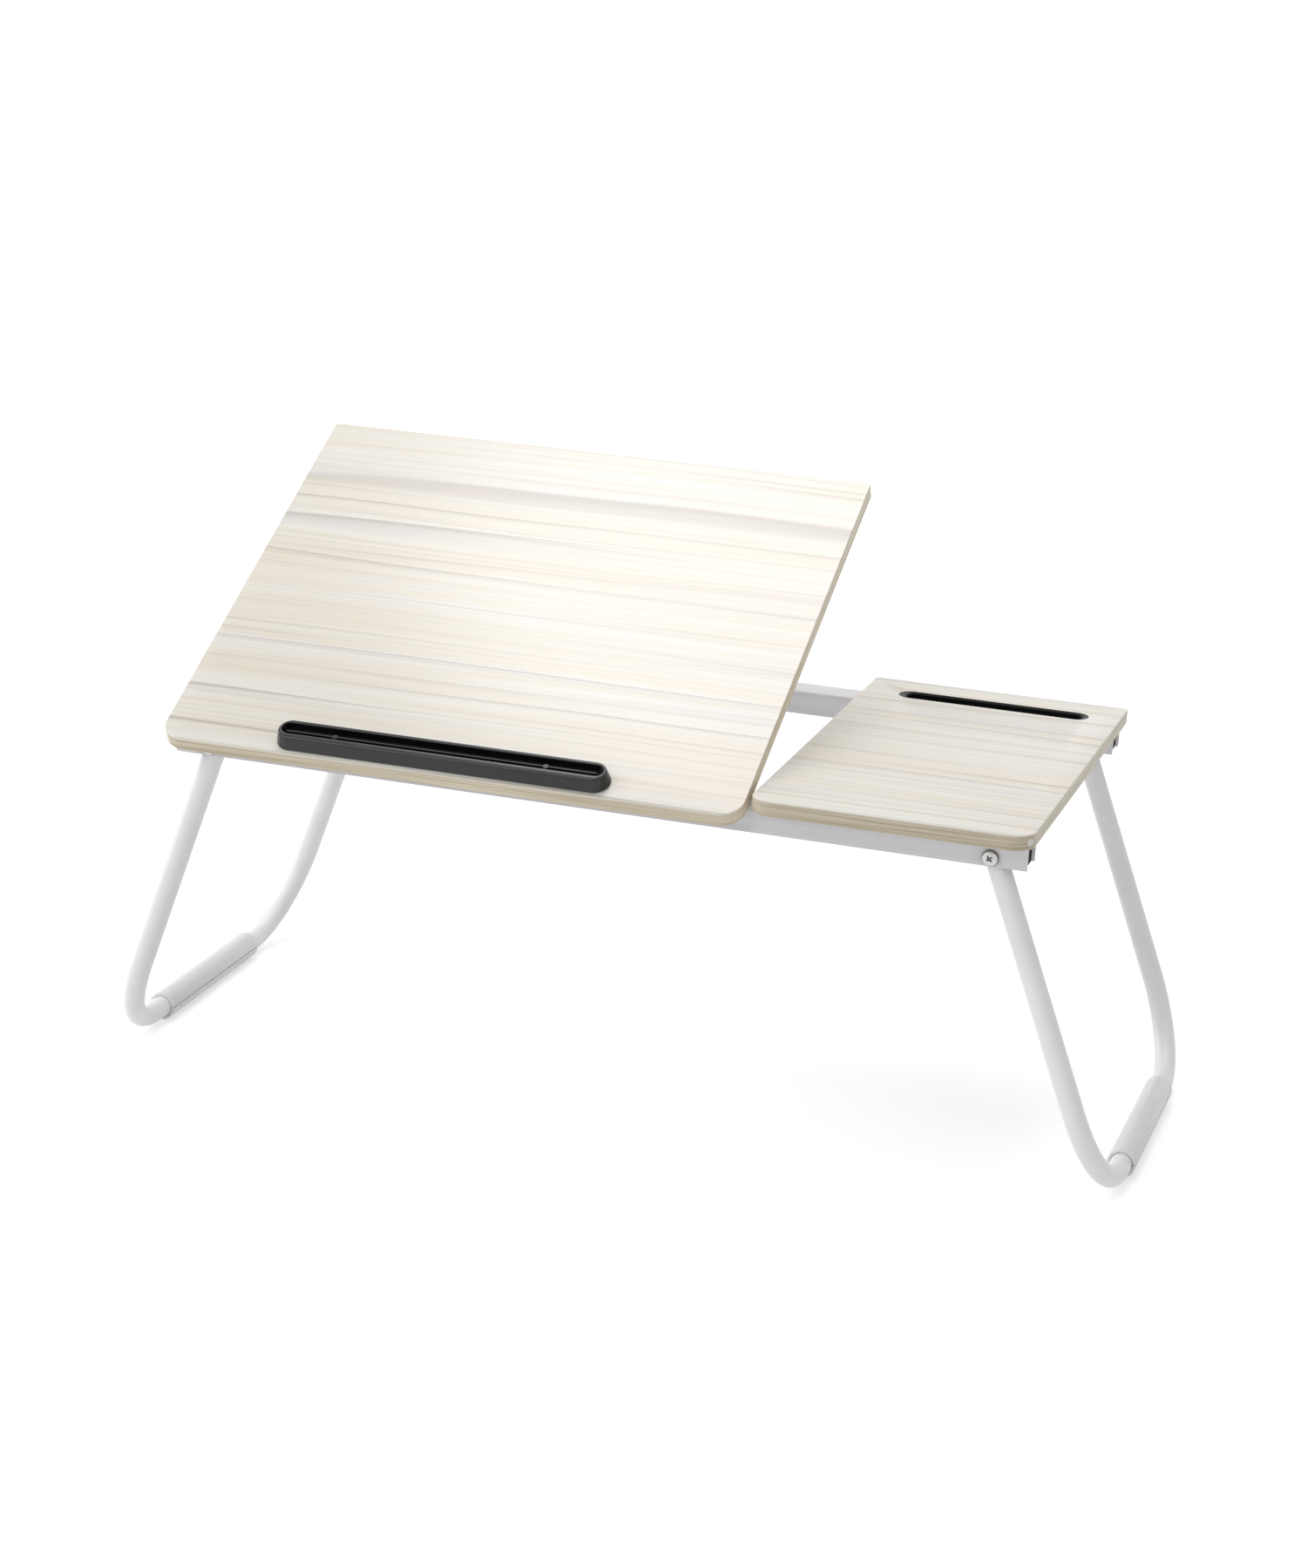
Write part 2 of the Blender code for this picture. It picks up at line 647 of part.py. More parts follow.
def make_end_plugs(frame, materials):
    """Plugs that close the rails; the foot of each inner end is the stop for the open leg.

    The front left one has worked a little way out of its rail, as in the photo.
    """
    width = RAIL_WIDTH - 2 * SHEET_THICKNESS - 2 * SEAT_GAP
    height = RAIL_HEIGHT - SHEET_THICKNESS - SEAT_GAP
    radii = (PLUG_FOOT_CORNER_R, PLUG_FOOT_CORNER_R, PLUG_CORNER_R, PLUG_CORNER_R)
    length = LEG_PIVOT_FROM_RAIL_END - PLUG_RECESS
    swing_r = math.hypot(TUBE_R, LEG_TOP_PAST_PIVOT) + SEAT_GAP
    for side_name, side in (("left", -1), ("right", 1)):
        for row_name, rail_y in (("front", FRONT_RAIL_Y), ("rear", REAR_RAIL_Y)):
            name = f"{row_name}_{side_name}_end_plug"
            slip = FRONT_LEFT_PLUG_SLIP if name == "front_left_end_plug" else 0
            pivot = (side * (LEG_PIVOT_X + slip), rail_y, LEG_PIVOT_Z)
            middle = (side * (LEG_PIVOT_X + slip + length / 2), rail_y, RAIL_FOOT + height / 2)
            outline = rounded_rectangle(width, height, radii, BEND_STEPS // 2)
            mesh = plate_mesh(name, [outline], length)
            plug = piece(name, mesh, frame, materials["black"], middle, ACROSS_X)
            swing_round = [((0, 0, 0), swing_r, 2 * RAIL_WIDTH)]
            swing = cylinders_mesh(f"{name}_swing", swing_round, HEAD_TO_FRONT, ROUND_STEPS)
            boolean(plug, cutter(f"{name}_swing", swing, frame, pivot))
            ends = sorted((-side * RAIL_HEIGHT, side * (TUBE_R + SEAT_GAP)))
            low, high = (ends[0], -RAIL_WIDTH, -RAIL_HEIGHT), (ends[1], RAIL_WIDTH, RAIL_HEIGHT)
            lean_box = boxes_mesh(f"{name}_lean", [(low, high)])
            lean = Matrix.Rotation(-side * LEG_SPLAYS[side], 4, "Y")
            boolean(plug, cutter(f"{name}_lean", lean_box, frame, pivot, lean))


def slot_ring(inset, z, narrow=False):
    """An outline of the tablet slot: its mouth, or the narrower throat below its ramps."""
    length, width, shift = SLOT_LENGTH, SLOT_WIDTH, 0
    corner = SLOT_WIDTH / 2 * SLOT_ROUNDING_SHARE
    if narrow:
        length, width = length - 2 * SLOT_END_RAMP, width - SLOT_FRONT_RAMP - SEAT_GAP
        shift = (SLOT_FRONT_RAMP - SEAT_GAP) / 2
        corner = SLOT_INNER_CORNER_R
    length, width, corner = length - 2 * inset, width - 2 * inset, corner - inset
    outline = rounded_rectangle(length, width, [corner] * 4, BEND_STEPS // 2)
    return [(x, y + shift, z) for x, y in outline]


def make_side_board(frame, materials):
    radii = (FRONT_CORNER_R, FRONT_CORNER_R, BACK_CORNER_R, BACK_CORNER_R)
    outline = rounded_rectangle(SIDE_BOARD_WIDTH, TABLE_DEPTH, radii)
    middle_y = FRONT_Y + TABLE_DEPTH / 2
    middle = (SIDE_BOARD_X, middle_y, TABLE_HEIGHT - BOARD_THICKNESS / 2)
    mesh = plate_mesh("side_board", [outline], BOARD_THICKNESS)
    board = place(bpy.data.objects.new("side_board", mesh), frame, middle)
    soften(board, BOARD_EDGE_BEVEL)
    slot = (SIDE_BOARD_X + SLOT_SHIFT, BACK_Y - SLOT_FROM_BACK - SLOT_WIDTH / 2, TABLE_HEIGHT)
    mouth, throat = slot_ring(0, 0), slot_ring(0, -SLOT_RAMP_DEPTH, narrow=True)
    rings = [slot_ring(0, -SLOT_DEPTH, narrow=True), throat, mouth, slot_ring(0, CUT_OVERRUN)]
    boolean(board, cutter("tablet_slot", lofted_mesh("tablet_slot", rings), frame, slot))
    seat = RAIL_TOP - SHEET_THICKNESS - SEAT_GAP
    bite = SHEET_THICKNESS + 2 * SEAT_GAP + SCREW_BITE
    holes = [screw_hole(x, y, seat, bite) for x, y in side_board_screw_places()]
    boolean(board, cutter("side_board_holes", cylinders_mesh("side_board_holes", holes), frame))
    finish(board, materials["wood"])
    foot, top = SEAT_GAP - SLOT_DEPTH, -SLOT_RAMP_DEPTH
    wall = SEAT_GAP + LINER_WALL
    rings = [slot_ring(SEAT_GAP, foot, narrow=True), slot_ring(SEAT_GAP, top, narrow=True)]
    rings += [slot_ring(wall, top, narrow=True), slot_ring(wall, foot + LINER_FLOOR, narrow=True)]
    piece("slot_liner", lofted_mesh("slot_liner", rings), frame, materials["black"], slot)
    for index, (x, y) in enumerate(side_board_screw_places(), 1):
        board_screw(f"side_board_screw_{index}", frame, (x, y, seat), bite, materials["steel"])


# Legs


def make_leg(name, side, frame, materials):
    """A leg: one tube bent to a U, hung in both rails, with a soft sleeve on its foot bar."""
    pivot = anchor(
        f"{name}_pivot",
        frame,
        (side * LEG_PIVOT_X, RAILS_MID_Y, LEG_PIVOT_Z),
        Matrix.Rotation(-side * LEG_SPLAYS[side], 4, "Y"),
    )
    length = LEG_DROP / math.cos(LEG_SPLAYS[side])

    def path(top):
        near, far, foot = -LEG_HALF_WIDTH, LEG_HALF_WIDTH, -length
        return filleted_path([(0, near, top), (0, near, foot), (0, far, foot), (0, far, top)], LEG_BEND_R)

    mesh = rod_mesh(name, path(LEG_TOP_PAST_PIVOT), TUBE_R, TUBE_SIDES)
    tube = piece(f"{name}_tube", mesh, pivot, materials["paint"])
    bore_path = path(LEG_TOP_PAST_PIVOT + CUT_OVERRUN)
    bore = rod_mesh(f"{name}_bore", bore_path, TUBE_R - TUBE_WALL, BORE_SIDES)
    boolean(tube, cutter(f"{name}_bore", bore, pivot))
    crossings = [
        ((0, row * LEG_HALF_WIDTH, 0), BUSH_R + SEAT_GAP, 2 * (TUBE_R + CUT_OVERRUN)) for row in (-1, 1)
    ]
    holes = cylinders_mesh(f"{name}_holes", crossings, HEAD_TO_FRONT, HOLE_STEPS)
    boolean(tube, cutter(f"{name}_holes", holes, pivot))
    ring = [circle(SLEEVE_R), circle(SLEEVE_R - SLEEVE_WALL)]
    sleeve = plate_mesh(f"{name}_sleeve", ring, SLEEVE_LENGTH)
    piece(f"{name}_foot_sleeve", sleeve, pivot, materials["rubber"], (0, 0, -length), ACROSS_Y)
    bush_length = RAIL_WIDTH - 2 * SHEET_THICKNESS - 2 * SEAT_GAP
    bush_ring = [circle(BUSH_R, HOLE_STEPS), circle(BUSH_R - BUSH_WALL, HOLE_STEPS)]
    for row_name, row in (("front", -1), ("rear", 1)):
        bush = plate_mesh(f"{name}_bush", bush_ring, bush_length)
        location = (0, row * LEG_HALF_WIDTH, 0)
        piece(f"{name}_{row_name}_bush", bush, pivot, materials["nylon"], location, ACROSS_Y)


def make_pivot_screws(frame, materials):
    """A screw and a nut through the rail at each top end of the legs."""
    length = RAIL_WIDTH + 3 * SEAT_GAP + NUT_HEIGHT + PIVOT_TIP_PAST_NUT
    sizes = (PIVOT_SCREW_R, PIVOT_HEAD_R, PIVOT_HEAD_HEIGHT, length)
    cross = (PIVOT_CROSS_LENGTH, PIVOT_CROSS_WIDTH, PIVOT_CROSS_DEPTH)
    nut_outline = [circle(NUT_R, 6), circle(PIVOT_SCREW_R + SEAT_GAP, HOLE_STEPS)]
    seat = RAIL_WIDTH / 2 + SEAT_GAP
    rows = (("front", FRONT_RAIL_Y, -1, HEAD_TO_FRONT), ("rear", REAR_RAIL_Y, 1, HEAD_TO_BACK))
    for row_name, rail_y, outward, turn in rows:
        for side_name, side in (("left", -1), ("right", 1)):
            x = side * LEG_PIVOT_X
            head = (x, rail_y + outward * seat, LEG_PIVOT_Z)
            name = f"{row_name}_{side_name}_pivot"
            pan_head_screw(f"{name}_screw", sizes, cross, frame, head, turn, materials["steel"])
            nut_place = (x, rail_y - outward * (seat + NUT_HEIGHT / 2), LEG_PIVOT_Z)
            nut = plate_mesh(f"{name}_nut", nut_outline, NUT_HEIGHT)
            piece(f"{name}_nut", nut, frame, materials["steel"], nut_place, ACROSS_Y)


# Reading board


def hinge_plate_screws(x):
    """Where one hinge plate is screwed on, in the reading board's own frame."""
    back = HINGE_PLATE_LENGTH - HINGE_SCREW_FROM_END
    return [(x, back), (x, back - HINGE_SCREW_SPACING)]


def clip_places():
    reach = PROP_HALF_WIDTH + PROP_END_LENGTH - CLIP_WIDTH / 2
    return [READING_BOARD_X + side * reach for side in (-1, 1)]


def clip_screws(x):
    return [(x, PROP_LENGTH + side * CLIP_SCREW_OFFSET) for side in (-1, 1)]


def stop_centre():
    """The book stop's middle, in the reading board's own frame."""
    return READING_BOARD_X + STOP_SHIFT, STOP_FROM_FRONT + STOP_WIDTH / 2 - HINGE_FROM_FRONT


def trough_centre():
    """The middle of the stop's trough, back from the stop's own middle."""
    return STOP_WIDTH / 2 - STOP_DRAFT - STOP_REAR_RIM - TROUGH_WIDTH / 2


def rib_centre():
    """The middle of the rib in the trough, back from the stop's own middle."""
    return trough_centre() - TROUGH_WIDTH / 2 + RIB_FROM_TROUGH_FRONT + RIB_THICKNESS / 2


def make_reading_board(panel, materials):
    """The board in its own frame: Y runs back and Z up from the hinge axis."""
    underside = HINGE_DEPTH
    radii = (FRONT_CORNER_R, FRONT_CORNER_R, BACK_CORNER_R, BACK_CORNER_R)
    outline = rounded_rectangle(READING_BOARD_WIDTH, TABLE_DEPTH, radii)
    middle = (READING_BOARD_X, TABLE_DEPTH / 2 - HINGE_FROM_FRONT, underside + BOARD_THICKNESS / 2)
    mesh = plate_mesh("reading_board", [outline], BOARD_THICKNESS)
    board = place(bpy.data.objects.new("reading_board", mesh), panel, middle)
    soften(board, BOARD_EDGE_BEVEL)
    pocket_half = HINGE_PLATE_WIDTH / 2 + SEAT_GAP
    front, back = -RAIL_BEND_R - SEAT_GAP, HINGE_PLATE_LENGTH + SEAT_GAP
    ceiling = underside + HINGE_PLATE_THICKNESS + SEAT_GAP
    pockets = [
        ((x - pocket_half, front, underside - CUT_OVERRUN), (x + pocket_half, back, ceiling))
        for x in hinge_places()
    ]
    boolean(board, cutter("hinge_pockets", boxes_mesh("hinge_pockets", pockets), panel))
    seat = underside - SEAT_GAP
    bite = SCREW_BITE + SEAT_GAP
    holes = []
    for x in hinge_places():
        holes += [screw_hole(hole_x, hole_y, seat, bite) for hole_x, hole_y in hinge_plate_screws(x)]
    for x in clip_places():
        holes += [screw_hole(hole_x, hole_y, seat, bite) for hole_x, hole_y in clip_screws(x)]
    boolean(board, cutter("board_holes", cylinders_mesh("board_holes", holes), panel))
    stop_x, stop_y = stop_centre()
    head_pocket = SCREW_HEAD_HEIGHT + SEAT_GAP
    through = []
    heads = []
    for side in (-1, 1):
        x = stop_x + side * BOSS_HALF_SPACING
        y = stop_y + rib_centre()
        through.append(((x, y, middle[2]), SCREW_SHANK_R + SEAT_GAP, 2 * BOARD_THICKNESS))
        head_z = underside + (head_pocket - CUT_OVERRUN) / 2
        heads.append(((x, y, head_z), SCREW_HEAD_R + SEAT_GAP, head_pocket + CUT_OVERRUN))
    boolean(board, cutter("stop_screw_holes", cylinders_mesh("stop_screw_holes", through), panel))
    boolean(board, cutter("stop_screw_heads", cylinders_mesh("stop_screw_heads", heads), panel))
    finish(board, materials["wood"])


def make_hinges(panel, materials):
    """Plates let into the board, each with a lug that turns on a pin in the front rail."""
    top = HINGE_DEPTH + HINGE_PLATE_THICKNESS
    lug = arc((0, 0), RAIL_BEND_R, math.pi, 2 * math.pi, HOLE_STEPS // 2)
    lug += [(RAIL_BEND_R, top), (-RAIL_BEND_R, top)]
    hole = circle(HINGE_PIN_R + SEAT_GAP, SCREW_STEPS)
    plate_length = HINGE_PLATE_LENGTH + RAIL_BEND_R
    for index, x in enumerate(hinge_places(), 1):
        name = f"hinge_bracket_{index}"
        mesh = plate_mesh(name, [lug, hole], LUG_THICKNESS)
        bracket = piece(name, mesh, panel, materials["paint"], (x, 0, 0), ACROSS_X)
        half = HINGE_PLATE_WIDTH / 2
        low = (x - half, -RAIL_BEND_R, HINGE_DEPTH)
        high = (x + half, plate_length - RAIL_BEND_R, top)
        boolean(bracket, cutter(f"{name}_plate", boxes_mesh(name, [(low, high)]), panel), "UNION")
        seat = HINGE_DEPTH - SEAT_GAP
        holes = [screw_hole(hole_x, hole_y, seat, SCREW_BITE) for hole_x, hole_y in hinge_plate_screws(x)]
        boolean(bracket, cutter(f"{name}_holes", cylinders_mesh(name, holes), panel))
        for row, (hole_x, hole_y) in enumerate(hinge_plate_screws(x), 1):
            screw_name = f"hinge_screw_{index}_{row}"
            board_screw(screw_name, panel, (hole_x, hole_y, seat), SCREW_BITE, materials["steel"])


def make_book_stop(panel, materials):
    """A moulded bar with a trough in its top, and a rib with two bumps that stands in the trough."""
    centre_x, centre_y = stop_centre()
    length, width, height = STOP_LENGTH, STOP_WIDTH, STOP_HEIGHT
    board_top = HINGE_DEPTH + BOARD_THICKNESS + SEAT_GAP
    seat = (centre_x, centre_y, board_top)
    trough_length = length - 2 * (STOP_DRAFT + STOP_END_RIM)

    def ring(inset, z):
        return [(x, y, z) for x, y in obround(length - 2 * inset, width - 2 * inset)]

    def trough_ring(inset, z):
        outline = obround(trough_length - 2 * inset, TROUGH_WIDTH - 2 * inset, trough_centre())
        return [(x, y, z) for x, y in outline]

    edge = [
        (STOP_DRAFT + STOP_EDGE_R * (1 - math.cos(a)), height - STOP_EDGE_R + STOP_EDGE_R * math.sin(a))
        for a in (math.radians(d) for d in (0, 30, 60, 90))
    ]
    rings = [ring(0, 0)] + [ring(inset, z) for inset, z in edge]
    rings += [trough_ring(0, height), trough_ring(TROUGH_DRAFT, height - TROUGH_DEPTH)]
    stop = piece("book_stop", lofted_mesh("book_stop", rings), panel, materials["black"], seat)
    rib_y = rib_centre()
    rib_half = trough_length / 2 - RIB_SHORT_OF_TROUGH
    rib_top = height - RIB_BELOW_RIM
    rib_foot = height - TROUGH_DEPTH - STOP_EDGE_R
    low = (-rib_half, rib_y - RIB_THICKNESS / 2, rib_foot)
    rib = boxes_mesh("stop_rib", [(low, (rib_half, rib_y + RIB_THICKNESS / 2, rib_top))])
    boolean(stop, cutter("stop_rib", rib, panel, seat), "UNION")
    bump_places = [side * BOSS_HALF_SPACING for side in (-1, 1)]
    bumps = [((x, rib_y, (rib_foot + rib_top) / 2), BOSS_R, rib_top - rib_foot) for x in bump_places]
    boolean(stop, cutter("stop_bumps", cylinders_mesh("stop_bumps", bumps), panel, seat), "UNION")
    depth = STOP_SCREW_BITE + SEAT_GAP
    bores = [
        ((x, rib_y, (depth - CUT_OVERRUN) / 2), SCREW_SHANK_R + SEAT_GAP, depth + CUT_OVERRUN)
        for x in bump_places
    ]
    boolean(stop, cutter("stop_bores", cylinders_mesh("stop_bores", bores), panel, seat))
    head_seat = HINGE_DEPTH + SCREW_HEAD_HEIGHT
    bite = board_top + STOP_SCREW_BITE - head_seat
    for index, x in enumerate(bump_places, 1):
        head = (centre_x + x, centre_y + rib_y, head_seat)
        board_screw(f"stop_screw_{index}", panel, head, bite, materials["steel"])


def clip_outline():
    """A saddle clip's side view about the wire: two flat feet and the arch between them."""
    inner, outer = WIRE_R + SEAT_GAP, WIRE_R + SEAT_GAP + CLIP_THICKNESS
    foot_top = HINGE_DEPTH - SEAT_GAP
    foot_low = foot_top - CLIP_THICKNESS
    outline = [(-CLIP_HALF_LENGTH, foot_low), (-outer, foot_low)]
    outline += arc((0, 0), outer, math.pi, 2 * math.pi, HOLE_STEPS // 2)
    outline += [(outer, foot_low), (CLIP_HALF_LENGTH, foot_low), (CLIP_HALF_LENGTH, foot_top)]
    outline += [(inner, foot_top)]
    outline += arc((0, 0), inner, 2 * math.pi, math.pi, HOLE_STEPS // 2)
    return outline + [(-inner, foot_top), (-CLIP_HALF_LENGTH, foot_top)]


def make_prop_clips(panel, materials):
    seat = HINGE_DEPTH - CLIP_THICKNESS - 2 * SEAT_GAP
    bite = SCREW_BITE + CLIP_THICKNESS
    for index, x in enumerate(clip_places(), 1):
        name = f"prop_clip_{index}"
        mesh = plate_mesh(name, [clip_outline()], CLIP_WIDTH)
        clip = piece(name, mesh, panel, materials["steel"], (x, PROP_LENGTH, 0), ACROSS_X)
        holes = [screw_hole(hole_x, hole_y, seat, bite) for hole_x, hole_y in clip_screws(x)]
        boolean(clip, cutter(f"{name}_holes", cylinders_mesh(name, holes), panel))
        for row, (hole_x, hole_y) in enumerate(clip_screws(x), 1):
            screw_name = f"clip_screw_{index}_{row}"
            board_screw(screw_name, panel, (hole_x, hole_y, seat), bite, materials["steel"])


def make_prop(panel, materials):
    """The wire that holds the board up; it is as long as its hinge is from the board's hinge."""
    turn = Matrix.Rotation(-2 * READING_TILT, 4, "X")
    pivot = anchor("prop_pivot", panel, (READING_BOARD_X, PROP_LENGTH, 0), turn)
    half, end = PROP_HALF_WIDTH, PROP_HALF_WIDTH + PROP_END_LENGTH
    half_foot = PROP_LENGTH / 2
    left = filleted_path([(-end, 0, 0), (-half, 0, 0), (-half, half_foot, 0)], PROP_END_BEND_R)
    foot = filleted_path(
        [(-half, half_foot, 0), (-half, PROP_LENGTH, 0), (half, PROP_LENGTH, 0), (half, half_foot, 0)],
        PROP_FOOT_BEND_R,
    )
    right = filleted_path([(half, half_foot, 0), (half, 0, 0), (end, 0, 0)], PROP_END_BEND_R)
    path = left + foot[1:] + right[1:]
    piece("prop_wire", rod_mesh("prop_wire", path, WIRE_R, WIRE_SIDES), pivot, materials["paint"])


def build():
    materials = {
        "paint": new_material("white_paint", PAINT),
        "wood": new_material("wood_print", WOOD_PRINT),
        "black": new_material("black_plastic", BLACK_PLASTIC),
        "rubber": new_material("clear_rubber", CLEAR_RUBBER),
        "nylon": new_material("nylon", NYLON),
        "steel": new_material("plated_steel", PLATED_STEEL),
    }
    frame = anchor("table_frame", location=(-FEET_MIDDLE_X, 0, 0))
    make_rails(frame, materials)
    make_cross_members(frame, materials)
    make_racks(frame, materials)
    make_end_plugs(frame, materials)
    make_side_board(frame, materials)
    make_leg("left_leg", -1, frame, materials)
    make_leg("right_leg", 1, frame, materials)
    make_pivot_screws(frame, materials)
    panel = anchor("panel_pivot", frame, (0, HINGE_Y, HINGE_Z), Matrix.Rotation(READING_TILT, 4, "X"))
    make_reading_board(panel, materials)
    make_hinges(panel, materials)
    make_book_stop(panel, materials)
    make_prop_clips(panel, materials)
    make_prop(panel, materials)


build()
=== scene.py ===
"""Looks for the folding low table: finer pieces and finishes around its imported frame.

Lengths are in metres, X along the table, Y to its back, Z up, as in the part's own source.
"""
import json
import math

import bmesh
import bpy
from mathutils import Matrix, Vector


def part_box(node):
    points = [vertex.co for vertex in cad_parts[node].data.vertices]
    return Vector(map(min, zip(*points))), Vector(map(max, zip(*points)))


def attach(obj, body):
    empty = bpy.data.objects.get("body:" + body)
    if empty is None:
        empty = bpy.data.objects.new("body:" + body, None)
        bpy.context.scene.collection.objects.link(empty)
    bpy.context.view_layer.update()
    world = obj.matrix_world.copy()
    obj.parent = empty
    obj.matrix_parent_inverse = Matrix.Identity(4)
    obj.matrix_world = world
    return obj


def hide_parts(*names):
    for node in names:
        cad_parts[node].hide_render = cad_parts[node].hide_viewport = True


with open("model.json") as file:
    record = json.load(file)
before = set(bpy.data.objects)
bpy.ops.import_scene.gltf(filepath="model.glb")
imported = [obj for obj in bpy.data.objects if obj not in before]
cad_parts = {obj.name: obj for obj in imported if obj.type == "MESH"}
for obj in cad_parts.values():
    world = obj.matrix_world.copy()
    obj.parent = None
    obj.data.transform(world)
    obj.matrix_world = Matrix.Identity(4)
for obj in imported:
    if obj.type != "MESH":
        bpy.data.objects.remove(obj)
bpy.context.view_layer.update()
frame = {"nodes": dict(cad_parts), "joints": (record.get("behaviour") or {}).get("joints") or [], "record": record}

# Sizes that the part's source has too
SEAT_GAP = 0.0003
BOARD_THICKNESS = 0.009
FRONT_CORNER_R = 0.014
BACK_CORNER_R = 0.003
SHEET_THICKNESS = 0.0012
RAIL_BEND_R = 0.0032
CROSS_BEND_R = 0.0022
FRONT_RAIL_SET_BACK = 0.016
HINGE_PIN_R = 0.0013
LUG_THICKNESS = 0.0016
EAR_THICKNESS = 0.0016
HINGE_POCKET_HALF_WIDTH = 0.0083
HINGE_POCKET_BACK = 0.0503
HINGE_POCKET_DEPTH = 0.0015
TUBE_R = 0.0065
TUBE_WALL = 0.0010
BUSH_R = 0.0040
LEG_SPLAYS = {"left": math.radians(18.0), "right": math.radians(21.3)}
LEG_BEND_R = 0.055
LEG_TOP_PAST_PIVOT = 0.0050
SLEEVE_WALL = 0.0017
STOP_LENGTH = 0.204
STOP_WIDTH = 0.0190
STOP_HEIGHT = 0.0086
STOP_DRAFT = 0.0016
STOP_FROM_FRONT = 0.0025
STOP_SHIFT = -0.0035
STOP_REAR_RIM = 0.0027
STOP_END_RIM = 0.0022
TROUGH_WIDTH = 0.0088
TROUGH_DEPTH = 0.0050
RIB_THICKNESS = 0.0010
RIB_FROM_TROUGH_FRONT = 0.0019
RIB_BELOW_RIM = 0.0004
RIB_SHORT_OF_TROUGH = 0.0034
BUMP_R = 0.0016
BUMP_HALF_SPACING = 0.0644
SLOT_LENGTH = 0.120
SLOT_WIDTH = 0.017
SLOT_DEPTH = 0.0056
SLOT_FROM_BACK = 0.0250
SLOT_SHIFT = 0.0020
SLOT_RAMP_DEPTH = 0.0012
SLOT_FRONT_RAMP = 0.0036
SLOT_END_RAMP = 0.0040
SLOT_MOUTH_CORNER_R = 0.0080
SLOT_THROAT_CORNER_R = 0.0050
LINER_WALL = 0.0010
LINER_FLOOR = 0.0008
WIRE_R = 0.003
PROP_LENGTH = 0.118
PROP_END_BEND_R = 0.007
PROP_FOOT_BEND_R = 0.010
PROP_END_LENGTH = 0.016

# Screws by shank radius, head radius and head height, and their crosses by length, width and depth
PIVOT_SCREW = (0.0024, 0.0046, 0.0030)
PIVOT_CROSS = (0.0052, 0.0012, 0.0014)
BOARD_SCREW = (0.0015, 0.0030, 0.0018)
BOARD_CROSS = (0.0034, 0.0008, 0.0008)

# How far the crosses are turned, in degrees: by side, and from one board screw to the next
PIVOT_CROSS_TURNS = {"left": 22, "right": 40}
BOARD_CROSS_TURN = 37

# Sizes of the finer shapes
BOARD_RIM_R = 0.0006
SLIT_WIDTH = 0.0008
SLIT_SHARE_OF_WALL = 0.75
WHITE_DOT_R = 0.0022
WHITE_DOT_STANDS_OUT = 0.0004
WHITE_DOT_TURN = math.radians(-30)
TUBE_END_DEPTH = 0.016
STOP_EDGE_R = 0.0014
STOP_FOOT_INSET = 0.0004
STOP_FOOT_HEIGHT = 0.0005
TROUGH_LIP_R = 0.0005
TROUGH_DRAFT = 0.0003
NEARLY_ROUND = 0.999
DOME_FULLNESS = 0.8
CROSS_FOOT_SHARE = (0.45, 0.7, 1)
HEAD_SIDE_SHARE = 0.94
SHEET_EDGE = 0.0002
CLIP_EDGE = 0.0002
PLATE_EDGE = 0.0003
RIB_EDGE = 0.0003
SLEEVE_EDGE = 0.0003
NUT_EDGE = 0.0004
PLUG_EDGE = 0.0004
WIRE_EDGE = 0.0005
SCREW_EDGE = 0.00012

# How far a cutting shape reaches past what it cuts, and two rods that pass right through
CUT_PAST = 0.001
BUSH_CUT_LENGTH = 0.02
PIVOT_CUT_LENGTH = 0.03

MERGE_WITHIN = 0.000001
SHEET_BEND_STEPS = 8
TUBE_BEND_STEPS = 24
FRONT_CORNER_STEPS = 20
BACK_CORNER_STEPS = 8
BOARD_RIM_STEPS = 3

# The finishes of a board, in the order of its materials
TOP, EDGE_STRIP, UNDERSIDE, SLOT_WALL = range(4)

# Places on the table
HINGES = (1, 2, 3)
PROP_CLIPS = (1, 2)
ROW_NAMES = {"front": -1, "rear": 1}
SIDE_NAMES = {"left": -1, "right": 1}
JOINTS = {joint["name"]: joint for joint in frame["joints"]}
HINGE = Vector(JOINTS["panel_tilt"]["pos_m"])
TILT = math.radians(-JOINTS["panel_tilt"]["range_deg"][0])
PANEL = Matrix.Translation((0, HINGE.y, HINGE.z)) @ Matrix.Rotation(TILT, 4, "X")
HINGE_FROM_FRONT = FRONT_RAIL_SET_BACK + RAIL_BEND_R
BOARD_UNDERSIDE = RAIL_BEND_R + SEAT_GAP
READING_BOARD_MIDDLE_FROM_HINGE = 0.131
SLOT_THROAT = (SLOT_LENGTH - 2 * SLOT_END_RAMP, SLOT_WIDTH - SLOT_FRONT_RAMP - SEAT_GAP)
SLOT_THROAT_SHIFT = (0, (SLOT_FRONT_RAMP - SEAT_GAP) / 2)
ALONG_X = Matrix.Rotation(math.pi / 2, 4, "Y")
ALONG_Y = Matrix.Rotation(math.pi / 2, 4, "X")

# Light, floor and camera
FLOOR_REACH = 40
FLOOR_COLOUR = (0.86, 0.86, 0.86)
FLOOR_GLOW = 0.45
ROOM_LIGHT = 0.42
WHITE_WALL = 1.0
LENS = 80.505
CAMERA_PLACE = (0.5771504, -1.9610466, 0.7852663)
CAMERA_RIGHT = (0.95246413, 0.30012235, 0.05233213)
CAMERA_UP = (-0.13309592, 0.25541046, 0.95762778)

# How many rows a printed line drifts, where in its row its back edge starts, and how far apart in
# the noise the rows are taken from
PRINT_DRIFT = 3.0
PRINT_BACK_EDGE = 0.955
PRINT_ROW_SPACING = 7.31

